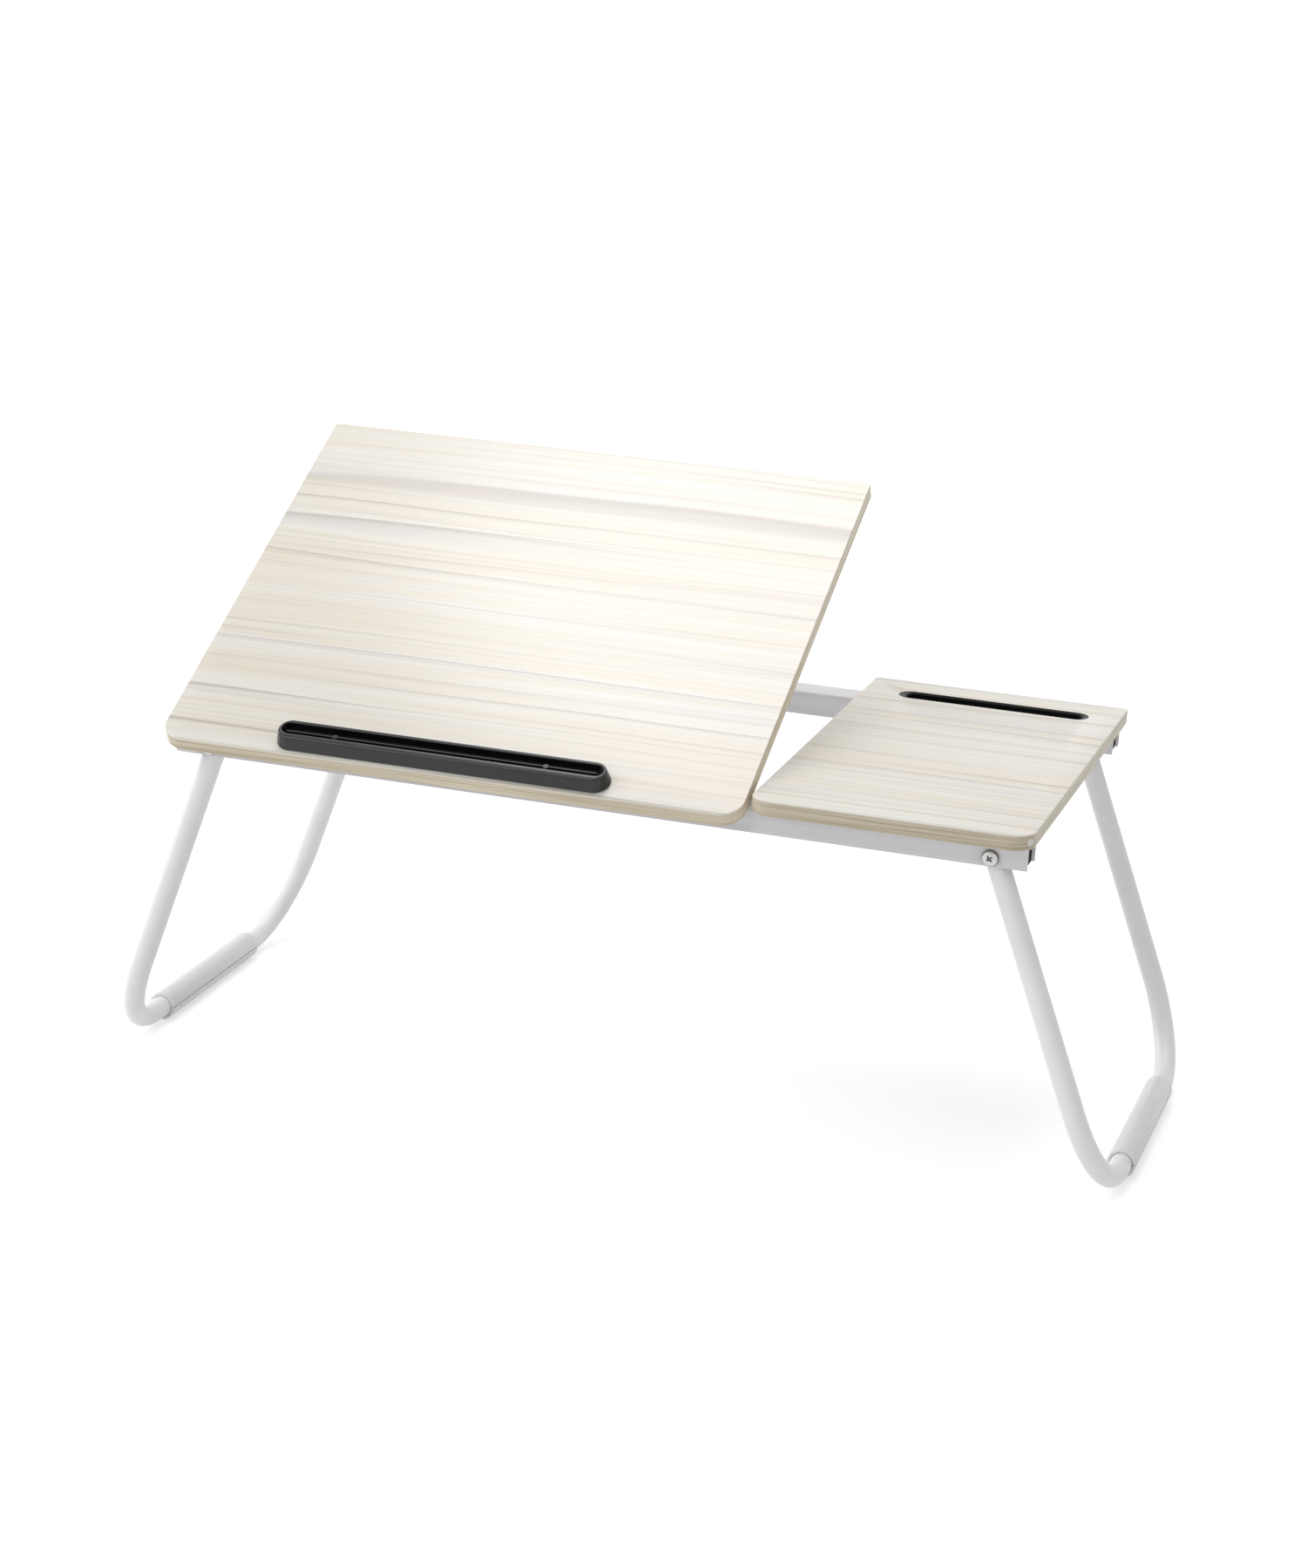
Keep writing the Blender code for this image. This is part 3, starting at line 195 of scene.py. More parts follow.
# Printed lines of the boards: rows a metre, changes a metre along a line, sharpness, the noise at
# which a line starts to show and shows in full, seed, share of the ink, ink
PRINTED_LINES = (
    (110, 2.0, 8.0, 0.40, 0.62, 20, 0.7, (178, 165, 150)),
    (44, 1.6, 12.0, 0.38, 0.58, 30, 0.9, (152, 140, 132)),
    (230, 3.0, 4.0, 0.45, 0.62, 40, 0.4, (190, 178, 162)),
)


def box_middle(node):
    low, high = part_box(node)
    return (low + high) / 2


def node_points(node, place=Matrix()):
    """The corners of a solid as they lie before the place turns and moves them."""
    back = place.inverted()
    return [back @ vert.co for vert in frame["nodes"][node].data.vertices]


def extent(points):
    """The lowest and the highest corner of the box round the points."""
    low, high = (Vector(pick(point[axis] for point in points) for axis in range(3)) for pick in (min, max))
    return low, high


def body_of(node):
    groups = frame["record"]["behaviour"]["bodies"]
    return next(body for body, nodes in groups.items() if node in nodes)


# Finishes


class Wire:
    """One output of a node. A sum on wires adds its Math nodes."""

    def __init__(self, nodes, socket):
        self.nodes = nodes
        self.socket = socket

    def math(self, operation, first, second=0.0):
        return self.nodes.node("ShaderNodeMath", {"operation": operation}, {0: first, 1: second})

    def __add__(self, other):
        return self.math("ADD", self, other)

    def __radd__(self, other):
        return self.math("ADD", other, self)

    def __sub__(self, other):
        return self.math("SUBTRACT", self, other)

    def __rsub__(self, other):
        return self.math("SUBTRACT", other, self)

    def __mul__(self, other):
        return self.math("MULTIPLY", self, other)

    def __rmul__(self, other):
        return self.math("MULTIPLY", other, self)

    def __pow__(self, other):
        return self.math("POWER", self, other)

    def __rpow__(self, other):
        return self.math("POWER", other, self)

    def or_more(self, other):
        return self.math("MAXIMUM", self, other)

    def past_whole(self):
        return self.math("FRACT", self)

    def whole(self):
        return self.math("FLOOR", self)


class Nodes:
    """A node tree, and the one call that adds a node to it."""

    def __init__(self, tree):
        self.tree = tree

    def node(self, kind, settings=None, sockets=None, output=0):
        made = self.tree.nodes.new(kind)
        for key, value in (settings or {}).items():
            if key == "stops":
                while len(made.color_ramp.elements) < len(value):
                    made.color_ramp.elements.new(0.5)
                for element, (position, colour) in zip(made.color_ramp.elements, value):
                    element.position = position
                    element.color = (*colour, 1)
            else:
                setattr(made, key, value)
        for key, value in (sockets or {}).items():
            self.feed(made.inputs[key], value)
        return Wire(self, made.outputs[output]) if made.outputs else None

    def feed(self, socket, value):
        if isinstance(value, Wire):
            self.tree.links.new(value.socket, socket)
        elif socket.type == "RGBA" and len(value) == 3:
            socket.default_value = (*value, 1)
        else:
            socket.default_value = value

    def outputs(self, wire, keys):
        """Wires from several outputs of the node that a wire comes from."""
        return [Wire(self, wire.socket.node.outputs[key]) for key in keys]

    def background_rays(self):
        """1 for what the camera sees straight on, in gloss or through glass, else 0."""
        rays = self.node("ShaderNodeLightPath")
        names = ("Is Camera Ray", "Is Glossy Ray", "Is Transmission Ray")
        camera, gloss, glass = self.outputs(rays, names)
        return camera.or_more(gloss).or_more(glass)


class Finish(Nodes):
    """A material, and the calls that its look is made with."""

    def __init__(self, name, **constants):
        self.material = bpy.data.materials.new(name)
        self.material.use_nodes = True
        super().__init__(self.material.node_tree)
        self.shader = self.tree.nodes["Principled BSDF"]
        for key, value in constants.items():
            socket = key.replace("_", " ").title().replace("Ior", "IOR")
            self.shader.inputs[socket].default_value = value

    def set(self, **sockets):
        for name, value in sockets.items():
            self.feed(self.shader.inputs[name.replace("_", " ").title()], value)

    def place(self, location=(0, 0, 0), turn=(0, 0, 0), stretch=(1, 1, 1)):
        """Object coordinates, centred, turned and stretched on a piece."""
        raw = self.node("ShaderNodeTexCoord", output=3)
        sockets = {"Vector": raw, "Location": location, "Rotation": turn}
        local = self.node("ShaderNodeMapping", {"vector_type": "TEXTURE"}, sockets)
        return self.node("ShaderNodeMapping", {"vector_type": "POINT"}, {"Vector": local, "Scale": stretch})

    def split(self, vector):
        return self.outputs(self.node("ShaderNodeSeparateXYZ", sockets={"Vector": vector}), range(3))

    def join(self, x, y, z):
        return self.node("ShaderNodeCombineXYZ", sockets={0: x, 1: y, 2: z})

    def noise(self, vector, scale=1.0, detail=2.0, roughness=0.5):
        sockets = {"Vector": vector, "Scale": scale, "Detail": detail, "Roughness": roughness}
        return self.node("ShaderNodeTexNoise", sockets=sockets)

    def smooth(self, value, low, high):
        """0 below low, 1 above high, and a smooth step between them."""
        settings = {"interpolation_type": "SMOOTHSTEP"}
        return self.node("ShaderNodeMapRange", settings, {"Value": value, "From Min": low, "From Max": high})

    def mix(self, share, first, second):
        return self.node("ShaderNodeMix", {"data_type": "RGBA"}, {0: share, 6: first, 7: second}, output=2)

    def ramp(self, share, stops):
        return self.node("ShaderNodeValToRGB", {"stops": stops}, {0: share})

    def bump(self, height, depth, strength):
        sockets = {"Height": height, "Distance": depth, "Strength": strength}
        self.set(Normal=self.node("ShaderNodeBump", sockets=sockets))


def tone(red, green, blue):
    """A colour written as on a screen, 0 to 255, turned to a light value."""
    return tuple(
        (c / 255 / 12.92) if c <= 10 else (((c / 255) + 0.055) / 1.055) ** 2.4
        for c in (red, green, blue)
    )


def laminate(name, location, turn, seed, gloss):
    """Pale printed wood grain: long grey lines along X, on streaks of cream, beige and pink."""
    finish = Finish(name, ior=gloss, specular_ior_level=0.9)
    x, y, _ = finish.split(finish.place(location, turn))
    wander = finish.noise(finish.join(x * 2.4, y * 6.0, seed)) - 0.5
    across = y + wander * 0.015

    def streaks(rate_along, rate_across, offset, detail, roughness=0.5):
        """Noise with so many changes a metre along the grain and across it."""
        spot = finish.join(x * rate_along, across * rate_across, seed + offset)
        return finish.noise(spot, detail=detail, roughness=roughness)

    def lines(rows, rate_along, sharpness, low, high, offset):
        """Lines that start sharp at the back and fade to the front, each strong only in parts."""
        drift = finish.noise(finish.join(x * 0.7, across * rows * 0.45, seed + offset), detail=1.0)
        row = across * rows + drift * PRINT_DRIFT
        across_row = row.past_whole()
        back_edge = 1.0 - finish.smooth(across_row, PRINT_BACK_EDGE, 1.0)
        spot = finish.join(x * rate_along, row.whole() * PRINT_ROW_SPACING, seed + offset + 1)
        return across_row ** sharpness * back_edge * finish.smooth(finish.noise(spot, detail=1.0), low, high)

    broad = streaks(1.0, 30, 3, detail=2.0, roughness=0.55)
    warm = streaks(1.5, 15, 11, detail=1.0)
    fine = streaks(6.0, 460, 5, detail=3.0, roughness=0.6)
    hair = streaks(3.0, 190, 6, detail=2.0, roughness=0.6)
    colour = finish.ramp(broad, [
        (0.30, tone(226, 224, 218)),
        (0.42, tone(236, 233, 225)),
        (0.52, tone(232, 224, 208)),
        (0.60, tone(237, 234, 227)),
        (0.72, tone(226, 223, 218)),
    ])
    colour = finish.mix(finish.smooth(warm, 0.46, 0.64) * 0.32, colour, tone(234, 221, 202))
    colour = finish.mix(finish.smooth(hair, 0.50, 0.75) * 0.22, colour, tone(206, 194, 176))
    for *shape, share, ink in PRINTED_LINES:
        colour = finish.mix(lines(*shape) * share, colour, tone(*ink))
    colour = finish.mix(finish.smooth(fine, 0.48, 0.80) * 0.15, colour, tone(190, 178, 160))
    finish.set(Base_Color=colour, Roughness=0.26 + fine * 0.08)
    finish.bump(fine, 0.00003, 0.5)
    return finish.material


def banding(name, location, turn, pale, dark, seed):
    """Printed edge strip: lines along the edge, with a pale line where it meets the top."""
    finish = Finish(name, roughness=0.40, ior=1.46)
    x, y, z = finish.split(finish.place(location, turn))
    along = x + y
    sway = finish.noise(finish.join(along * 6.0, seed + 2, 0.0), detail=1.0) - 0.5
    height = z + sway * 0.0016
    lines = finish.noise(finish.join(along * 5.0, seed, height * 900), detail=3.0, roughness=0.65)
    broad = finish.noise(finish.join(along * 7.0, seed + 4, height * 260), detail=1.0)
    colour = finish.mix(finish.smooth(lines, 0.36, 0.64), pale, dark)
    colour = finish.mix(finish.smooth(broad, 0.46, 0.66) * 0.5, colour, tone(222, 212, 190))
    # Paler towards the top of the strip: a pale band along its top edge.
    pale_top_band = finish.smooth(z, BOARD_THICKNESS / 2 - 0.0013, BOARD_THICKNESS / 2 - 0.0004)
    colour = finish.mix(pale_top_band * 0.75, colour, tone(236, 231, 216))
    finish.set(Base_Color=colour, Roughness=0.38 + lines * 0.12)
    finish.bump(lines, 0.00004, 0.5)
    return finish.material


def paint(name, colour, shade):
    """Powder coat: a faint orange peel, and a little cloudiness."""
    finish = Finish(name, ior=1.5)
    local = finish.place()
    peel = finish.noise(local, 900, roughness=0.55)
    cloud = finish.noise(local, 26, detail=3.0, roughness=0.6)
    finish.set(Base_Color=finish.mix(finish.smooth(cloud, 0.35, 0.75) * 0.5, colour, shade))
    finish.set(Roughness=0.30 + cloud * 0.14)
    finish.bump(peel, 0.00004, 0.35)
    return finish.material


def moulded(name, colour, sheen, roughness, gloss=1.5):
    """Moulded plastic: fine spark texture, rubbed a little smoother in patches."""
    finish = Finish(name, ior=gloss)
    local = finish.place()
    grain = finish.noise(local, 2600, roughness=0.6)
    rub = finish.noise(local, 60, detail=3.0, roughness=0.6)
    finish.set(Base_Color=finish.mix(finish.smooth(rub, 0.4, 0.8) * 0.6, colour, sheen))
    finish.set(Roughness=roughness + rub * 0.12 - grain * 0.04)
    finish.bump(grain, 0.00002, 0.5)
    return finish.material


def plated(name, colour, stain):
    """Zinc plate with a faint cloudiness."""
    finish = Finish(name, metallic=1.0)
    local = finish.place()
    cloud = finish.noise(local, 420, detail=3.0, roughness=0.6)
    fine = finish.noise(local, 4000)
    finish.set(Base_Color=finish.mix(finish.smooth(cloud, 0.35, 0.75), colour, stain))
    finish.set(Roughness=0.20 + cloud * 0.16)
    finish.bump(fine, 0.00001, 0.4)
    return finish.material


def clear_rubber(name):
    """Milky clear sleeve, with a haze drawn out along the foot bar."""
    finish = Finish(name, ior=1.42)
    haze = finish.noise(finish.place(stretch=(1, 0.06, 1)), 180, detail=1.0)
    finish.set(Base_Color=finish.mix(haze, tone(252, 252, 254), tone(246, 246, 249)))
    finish.set(Roughness=0.22 + haze * 0.10, Alpha=0.78 + haze * 0.16)
    finish.bump(haze, 0.0003, 0.4)
    return finish.material


# Shapes


def show(name, data):
    """A new object in the scene."""
    made = bpy.data.objects.new(name, data)
    bpy.context.scene.collection.objects.link(made)
    return made


def mesh_of(name, bm):
    mesh = bpy.data.meshes.new(name)
    bm.to_mesh(mesh)
    bm.free()
    return mesh


def new_piece(name, bm, place=None):
    """A mesh object with its place in its mesh and its faces turned outwards."""
    if place is not None:
        bm.transform(place)
    bmesh.ops.remove_doubles(bm, verts=bm.verts, dist=MERGE_WITHIN)
    bmesh.ops.recalc_face_normals(bm, faces=bm.faces)
    return show(name, mesh_of(name, bm))


def settle(piece):
    """Fix the piece's modifiers into its mesh."""
    graph = bpy.context.evaluated_depsgraph_get()
    mesh = bpy.data.meshes.new_from_object(piece.evaluated_get(graph))
    piece.modifiers.clear()
    piece.data = mesh


def join_shape(piece, bm, operation="DIFFERENCE", place=None):
    """Cut a shape out of the piece, or weld it on."""
    tool = new_piece("tool", bm, place)
    change = piece.modifiers.new("shape", "BOOLEAN")
    change.solver = "EXACT"
    change.operation = operation
    change.object = tool
    settle(piece)
    bpy.data.objects.remove(tool)


def soften(piece, width, segments=2, angle=32):
    """Round the edges that are sharper than the angle."""
    bevel = piece.modifiers.new("soft edges", "BEVEL")
    bevel.width = width
    bevel.segments = segments
    bevel.limit_method = "ANGLE"
    bevel.angle_limit = math.radians(angle)
    bevel.harden_normals = False
    settle(piece)


def smooth(piece, angle=36):
    """Shade the piece smooth, apart from edges sharper than the angle."""
    for face in piece.data.polygons:
        face.use_smooth = True
    piece.data.set_sharp_from_angle(angle=math.radians(angle))
    return piece


def dress(piece, body, nodes, slot, *materials):
    """Hang the piece on its body, in place of its solids, with its finishes."""
    chosen = [min(face.material_index, len(materials) - 1) for face in piece.data.polygons]
    piece.data.materials.clear()
    for material in materials:
        piece.data.materials.append(material)
    piece.data.polygons.foreach_set("material_index", chosen)
    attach(piece, body)
    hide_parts(*nodes)


def block(low, high):
    bm = bmesh.new()
    low, high = Vector(low), Vector(high)
    size = Matrix.Diagonal((*(high - low), 1))
    bmesh.ops.create_cube(bm, size=1, matrix=Matrix.Translation((low + high) / 2) @ size)
    return bm


def rod(radius, length, place, segments=32):
    bm = bmesh.new()
    bmesh.ops.create_cone(
        bm, cap_ends=True, segments=segments, radius1=radius, radius2=radius, depth=length, matrix=place
    )
    return bm


def round_bevel(bm, edges, radius, segments):
    bmesh.ops.bevel(
        bm, geom=edges, offset=radius, offset_type="OFFSET", segments=segments,
        profile=0.5, affect="EDGES", material=-1, clamp_overlap=True,
    )


def edges_of(verts):
    """The corners' edges, each once."""
    return list(dict.fromkeys(edge for vert in verts for edge in vert.link_edges))


def extruded(bm, edges):
    """The ring of edges extruded where it is; gives its new vertices and the new ring."""
    made = bmesh.ops.extrude_edge_only(bm, edges=edges)
    verts = [item for item in made["geom"] if isinstance(item, bmesh.types.BMVert)]
    fresh = set(verts)
    ring = [item for item in made["geom"] if isinstance(item, bmesh.types.BMEdge)
            and item.verts[0] in fresh and item.verts[1] in fresh]
    return verts, ring


def drawn(bm, edges, step):
    """The ring of edges drawn out along a step; gives the new ring."""
    verts, ring = extruded(bm, edges)
    bmesh.ops.translate(bm, verts=verts, vec=step)
    return ring


def bent(bm, edges, centre, axis, degrees, steps=TUBE_BEND_STEPS):
    """The ring of edges taken round a bend; gives the new ring."""
    made = bmesh.ops.spin(
        bm, geom=edges, cent=centre, axis=axis, angle=math.radians(degrees), steps=steps, use_merge=False
    )
    return [item for item in made["geom_last"] if isinstance(item, bmesh.types.BMEdge)]


def outline_point(unit, size, radius, middle):
    """Where a point of the unit circle lies on a rounded rectangle's edge."""
    length, width = size
    x = math.copysign(length / 2 - radius, unit.x) + unit.x * radius + middle[0]
    y = math.copysign(width / 2 - radius, unit.y) + unit.y * radius + middle[1]
    return x, y


def stack(rings, corner_steps=12):
    """A closed shape drawn up through rounded rectangles: (size, radius, middle, z) each."""
    bm = bmesh.new()
    made = bmesh.ops.create_circle(bm, cap_ends=False, segments=corner_steps * 4, radius=1)
    verts = made["verts"]
    bmesh.ops.rotate(bm, verts=verts, matrix=Matrix.Rotation(math.pi / corner_steps / 4, 3, "Z"))
    units = [vert.co.normalized() for vert in verts]
    edges = edges_of(verts)
    bmesh.ops.contextual_create(bm, geom=edges)
    for index, (size, radius, middle, z) in enumerate(rings):
        if index:
            fresh, edges = extruded(bm, edges)
            above = {}
            for vert in fresh:
                below = next(edge.other_vert(vert) for edge in vert.link_edges
                             if edge.other_vert(vert) not in fresh)
                above[below] = vert
            verts = [above[vert] for vert in verts]
        for vert, unit in zip(verts, units):
            vert.co = (*outline_point(unit, size, radius, middle), z)
    bmesh.ops.contextual_create(bm, geom=edges)
    return bm


# Boards


def make_board(name, node, size, middle, place, materials, holes, body):
    """A board with round corners; its top, edge strip and underside are finished apart."""
    half = BOARD_THICKNESS / 2
    bm = bmesh.new()
    bmesh.ops.create_cube(bm, size=1, matrix=Matrix.Diagonal((*size, BOARD_THICKNESS, 1)))
    upright = [edge for edge in bm.edges if abs(edge.verts[0].co.z - edge.verts[1].co.z) > half]
    front = [edge for edge in upright if edge.verts[0].co.y < 0]
    back = [edge for edge in upright if edge.verts[0].co.y > 0]
    round_bevel(bm, front, FRONT_CORNER_R, FRONT_CORNER_STEPS)
    round_bevel(bm, back, BACK_CORNER_R, BACK_CORNER_STEPS)
    rim = [edge for edge in bm.edges
           if abs(edge.verts[0].co.z - edge.verts[1].co.z) < half
           and abs(edge.verts[0].co.z) > half * 0.9]
    round_bevel(bm, rim, BOARD_RIM_R, BOARD_RIM_STEPS)
    for face in bm.faces:
        face.normal_update()
        upwards = face.normal.z
        face.material_index = TOP if upwards > 0.5 else UNDERSIDE if upwards < -0.5 else EDGE_STRIP
    board = new_piece(name, bm)
    for material in materials:
        board.data.materials.append(material)
    board.data.transform(Matrix.Translation(middle))
    for hole in holes:
        join_shape(board, hole)
    board.data.transform(place)
    dress(smooth(board, angle=40), body, [node], "wood_print", *materials)


def slot_shape():
    """The tablet slot: upright walls below, a ramp at the front and both ends above."""
    mouth = (SLOT_LENGTH, SLOT_WIDTH)
    bm = stack([
        (SLOT_THROAT, SLOT_THROAT_CORNER_R, SLOT_THROAT_SHIFT, -SLOT_DEPTH),
        (SLOT_THROAT, SLOT_THROAT_CORNER_R, SLOT_THROAT_SHIFT, -SLOT_RAMP_DEPTH),
        (mouth, SLOT_MOUTH_CORNER_R, (0, 0), 0),
        (mouth, SLOT_MOUTH_CORNER_R, (0, 0), 2 * CUT_PAST),
    ])
    for face in bm.faces:
        face.material_index = SLOT_WALL
    return bm


def make_side_board(looks):
    low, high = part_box("side_board")
    middle = (low + high) / 2
    slot = Matrix.Translation((middle.x + SLOT_SHIFT, high.y - SLOT_FROM_BACK - SLOT_WIDTH / 2, high.z))
    cut = slot_shape()
    cut.transform(slot)
    size = (high.x - low.x, high.y - low.y)
    materials = (looks["side_top"], looks["side_edge"], looks["underside"], looks["slot"])
    make_board("side_board_top", "side_board", size, middle, Matrix(), materials, [cut], "frame")

    def shrunk(inset, z):
        size = (SLOT_THROAT[0] - 2 * inset, SLOT_THROAT[1] - 2 * inset)
        return size, SLOT_THROAT_CORNER_R - inset, SLOT_THROAT_SHIFT, z

    tray = stack([
        shrunk(SEAT_GAP, SEAT_GAP - SLOT_DEPTH),
        shrunk(SEAT_GAP, -SLOT_RAMP_DEPTH),
        shrunk(SEAT_GAP + LINER_WALL, -SLOT_RAMP_DEPTH),
        shrunk(SEAT_GAP + LINER_WALL, SEAT_GAP + LINER_FLOOR - SLOT_DEPTH),
    ])
    liner = new_piece("slot_liner_tray", tray, slot)
    soften(liner, SHEET_EDGE)
    dress(smooth(liner), "frame", ["slot_liner"], "black_plastic", looks["black"])


def make_corner_white_dot(looks):
    """A small white disc, half let into the edge strip at the side board's front right corner."""
    low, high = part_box("side_board")
    corner = Vector((high.x - FRONT_CORNER_R, low.y + FRONT_CORNER_R, (low.z + high.z) / 2))
    place = Matrix.Translation(corner) @ Matrix.Rotation(WHITE_DOT_TURN, 4, "Z")
    place = place @ Matrix.Translation((FRONT_CORNER_R, 0, 0)) @ ALONG_X
    white_dot = new_piece("corner_white_dot", rod(WHITE_DOT_R, 2 * WHITE_DOT_STANDS_OUT, place, segments=28))
    soften(white_dot, WHITE_DOT_STANDS_OUT / 2, segments=3, angle=60)
    dress(smooth(white_dot, angle=50), "frame", [], "nylon", looks["nylon"])


def make_reading_board(looks):
    """The tilting board, with pockets in its underside for the hinge plates."""
    low, high = extent(node_points("reading_board", PANEL))
    pockets = []
    for index in HINGES:
        x = box_middle(f"hinge_bracket_{index}").x
        foot = (x - HINGE_POCKET_HALF_WIDTH, -BOARD_UNDERSIDE, low.z - CUT_PAST)
        head = (x + HINGE_POCKET_HALF_WIDTH, HINGE_POCKET_BACK, low.z + HINGE_POCKET_DEPTH)
        pockets.append(block(foot, head))
    materials = (looks["reading_top"], looks["reading_edge"], looks["underside"])
    size = (high.x - low.x, high.y - low.y)
    middle = (low + high) / 2
    make_board("reading_board_top", "reading_board", size, middle, PANEL, materials, pockets, "reading_panel")


# Frame


def sheet_channel(name, node, width_axis, bend):
    """A channel folded from one sheet, open downwards, where its solid lies."""
    low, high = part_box(node)
    middle = (low + high) / 2
    size = [end - start for start, end in zip(low, high)]
    width, length, height = size[width_axis], size[1 - width_axis], size[2]
    bm = bmesh.new()
    ends = [bm.verts.new((side * length / 2, -width / 2, -height)) for side in (-1, 1)]
    edge = [bm.edges.new(ends)]
    edge = drawn(bm, edge, (0, 0, height - bend))
    edge = bent(bm, edge, (0, bend - width / 2, -bend), (1, 0, 0), -90, SHEET_BEND_STEPS)
    edge = drawn(bm, edge, (0, width - 2 * bend, 0))
    edge = bent(bm, edge, (0, width / 2 - bend, -bend), (1, 0, 0), -90, SHEET_BEND_STEPS)
    drawn(bm, edge, (0, 0, bend - height))
    bmesh.ops.recalc_face_normals(bm, faces=bm.faces)
    top = max(bm.faces, key=lambda face: face.calc_center_median().z)
    top.normal_update()
    if top.normal.z < 0:
        bmesh.ops.reverse_faces(bm, faces=bm.faces)
    channel = show(name, mesh_of(name, bm))
    sheet = channel.modifiers.new("sheet", "SOLIDIFY")
    sheet.thickness = SHEET_THICKNESS
    sheet.offset = -1
    sheet.use_even_offset = True
    settle(channel)
    place = Matrix.Translation((middle.x, middle.y, high.z))
    if width_axis == 0:
        place = place @ Matrix.Rotation(math.pi / 2, 4, "Z")
    channel.data.transform(place)
    return channel


def fit_hinges(rail):
    """Two ears for each hinge pin, a slot between them for the lug, and the pin's hole."""
    half = LUG_THICKNESS / 2 + SEAT_GAP
    ear_reach = RAIL_BEND_R - SHEET_THICKNESS / 2
    slot_reach = RAIL_BEND_R + SEAT_GAP
    slot_past = slot_reach + 2 * CUT_PAST
    for index in HINGES:
        axis = Vector((box_middle(f"hinge_bracket_{index}").x, HINGE.y, HINGE.z))
        ear_low = axis - Vector((half + EAR_THICKNESS, ear_reach, RAIL_BEND_R))
        ear_high = axis + Vector((half + EAR_THICKNESS, RAIL_BEND_R, ear_reach))
        join_shape(rail, block(ear_low, ear_high), "UNION")
        slot_low = axis - Vector((half, slot_past, slot_reach))
        slot_high = axis + Vector((half, slot_reach, slot_past))
        join_shape(rail, block(slot_low, slot_high))
        hole_length = 2 * (half + EAR_THICKNESS) + 2 * CUT_PAST
        hole = rod(HINGE_PIN_R + SEAT_GAP, hole_length, Matrix.Translation(axis) @ ALONG_X, segments=20)
        join_shape(rail, hole)


def make_rails(looks):
    for row in ROW_NAMES:
        node = f"{row}_rail"
        rail = sheet_channel(f"{row}_rail_pressing", node, 1, RAIL_BEND_R)
        if row == "front":
            fit_hinges(rail)
        for side in SIDE_NAMES:
            pivot = Vector(JOINTS[f"{side}_leg_fold"]["pos_m"])
            place = Matrix.Translation((pivot.x, box_middle(node).y, pivot.z)) @ ALONG_Y
            join_shape(rail, rod(PIVOT_SCREW[0] + SEAT_GAP, PIVOT_CUT_LENGTH, place))
        soften(rail, SHEET_EDGE)
        dress(smooth(rail), "frame", [node], "white_paint", looks["paint"])


def make_cross_members(looks):
    for name in ("left", "centre", "right"):
        node = f"{name}_cross_member"
        member = sheet_channel(f"{name}_cross_pressing", node, 0, CROSS_BEND_R)
        soften(member, SHEET_EDGE)
        dress(smooth(member), "frame", [node], "white_paint", looks["paint"])


# Legs


def close_tube_end(bm, ring, centre):
    """Turn the tube's end inwards by its wall, go down its bore and close it there."""
    verts, ring = extruded(bm, ring)
    share = (TUBE_R - TUBE_WALL) / TUBE_R
    bmesh.ops.scale(bm, verts=verts, vec=(share, share, 1), space=Matrix.Translation((0, -centre, 0)))
    bmesh.ops.contextual_create(bm, geom=drawn(bm, ring, (0, 0, -TUBE_END_DEPTH)))


def make_leg_tube(side, place, half, foot, looks):
    """One tube bent to a U: drawn down, round the bend, along the foot, and up again."""
    bm = bmesh.new()
    start = Matrix.Translation((0, -half, LEG_TOP_PAST_PIVOT))
    made = bmesh.ops.create_circle(bm, cap_ends=False, segments=40, radius=TUBE_R, matrix=start)
    first = edges_of(made["verts"])
    down = LEG_TOP_PAST_PIVOT - (foot + LEG_BEND_R)
    ring = drawn(bm, first, (0, 0, -down))
    ring = bent(bm, ring, (0, LEG_BEND_R - half, foot + LEG_BEND_R), (1, 0, 0), 90)
    ring = drawn(bm, ring, (0, 2 * (half - LEG_BEND_R), 0))
    ring = bent(bm, ring, (0, half - LEG_BEND_R, foot + LEG_BEND_R), (1, 0, 0), 90)
    ring = drawn(bm, ring, (0, 0, down))
    close_tube_end(bm, first, -half)
    close_tube_end(bm, ring, half)
    tube = new_piece(f"{side}_leg_bent_tube", bm)
    for row in (-1, 1):
        across = Matrix.Translation((0, row * half, 0)) @ ALONG_Y
        join_shape(tube, rod(BUSH_R + SEAT_GAP, BUSH_CUT_LENGTH, across, segments=40))
    tube.data.transform(place)
    dress(smooth(tube, angle=40), f"{side}_leg", [f"{side}_leg_tube"], "white_paint", looks["tube"])


def make_foot_sleeve(side, place, foot, splay, looks):
    """A clear tube slit along its length, towards +X and level with the foot bar's middle."""
    node = f"{side}_leg_foot_sleeve"
    low, high = extent(node_points(node, place))
    length = high.y - low.y
    outer = TUBE_R + SEAT_GAP + SLEEVE_WALL
    at_foot = Matrix.Translation((0, 0, foot))
    along = at_foot @ ALONG_Y
    sleeve = new_piece(f"{side}_leg_soft_sleeve", rod(outer, length, along, segments=48))
    join_shape(sleeve, rod(outer - SLEEVE_WALL, length + 10 * CUT_PAST, along, segments=48))
    slit_low = (outer - SLEEVE_WALL * SLIT_SHARE_OF_WALL, -length, foot - SLIT_WIDTH / 2)
    slit_high = (outer + SLEEVE_WALL, length, foot + SLIT_WIDTH / 2)
    level = at_foot @ Matrix.Rotation(splay, 4, "Y") @ at_foot.inverted()
    join_shape(sleeve, block(slit_low, slit_high), place=level)
    soften(sleeve, SLEEVE_EDGE, segments=3)
    sleeve.data.transform(place)
    dress(smooth(sleeve, angle=50), f"{side}_leg", [node], "clear_rubber", looks["rubber"])


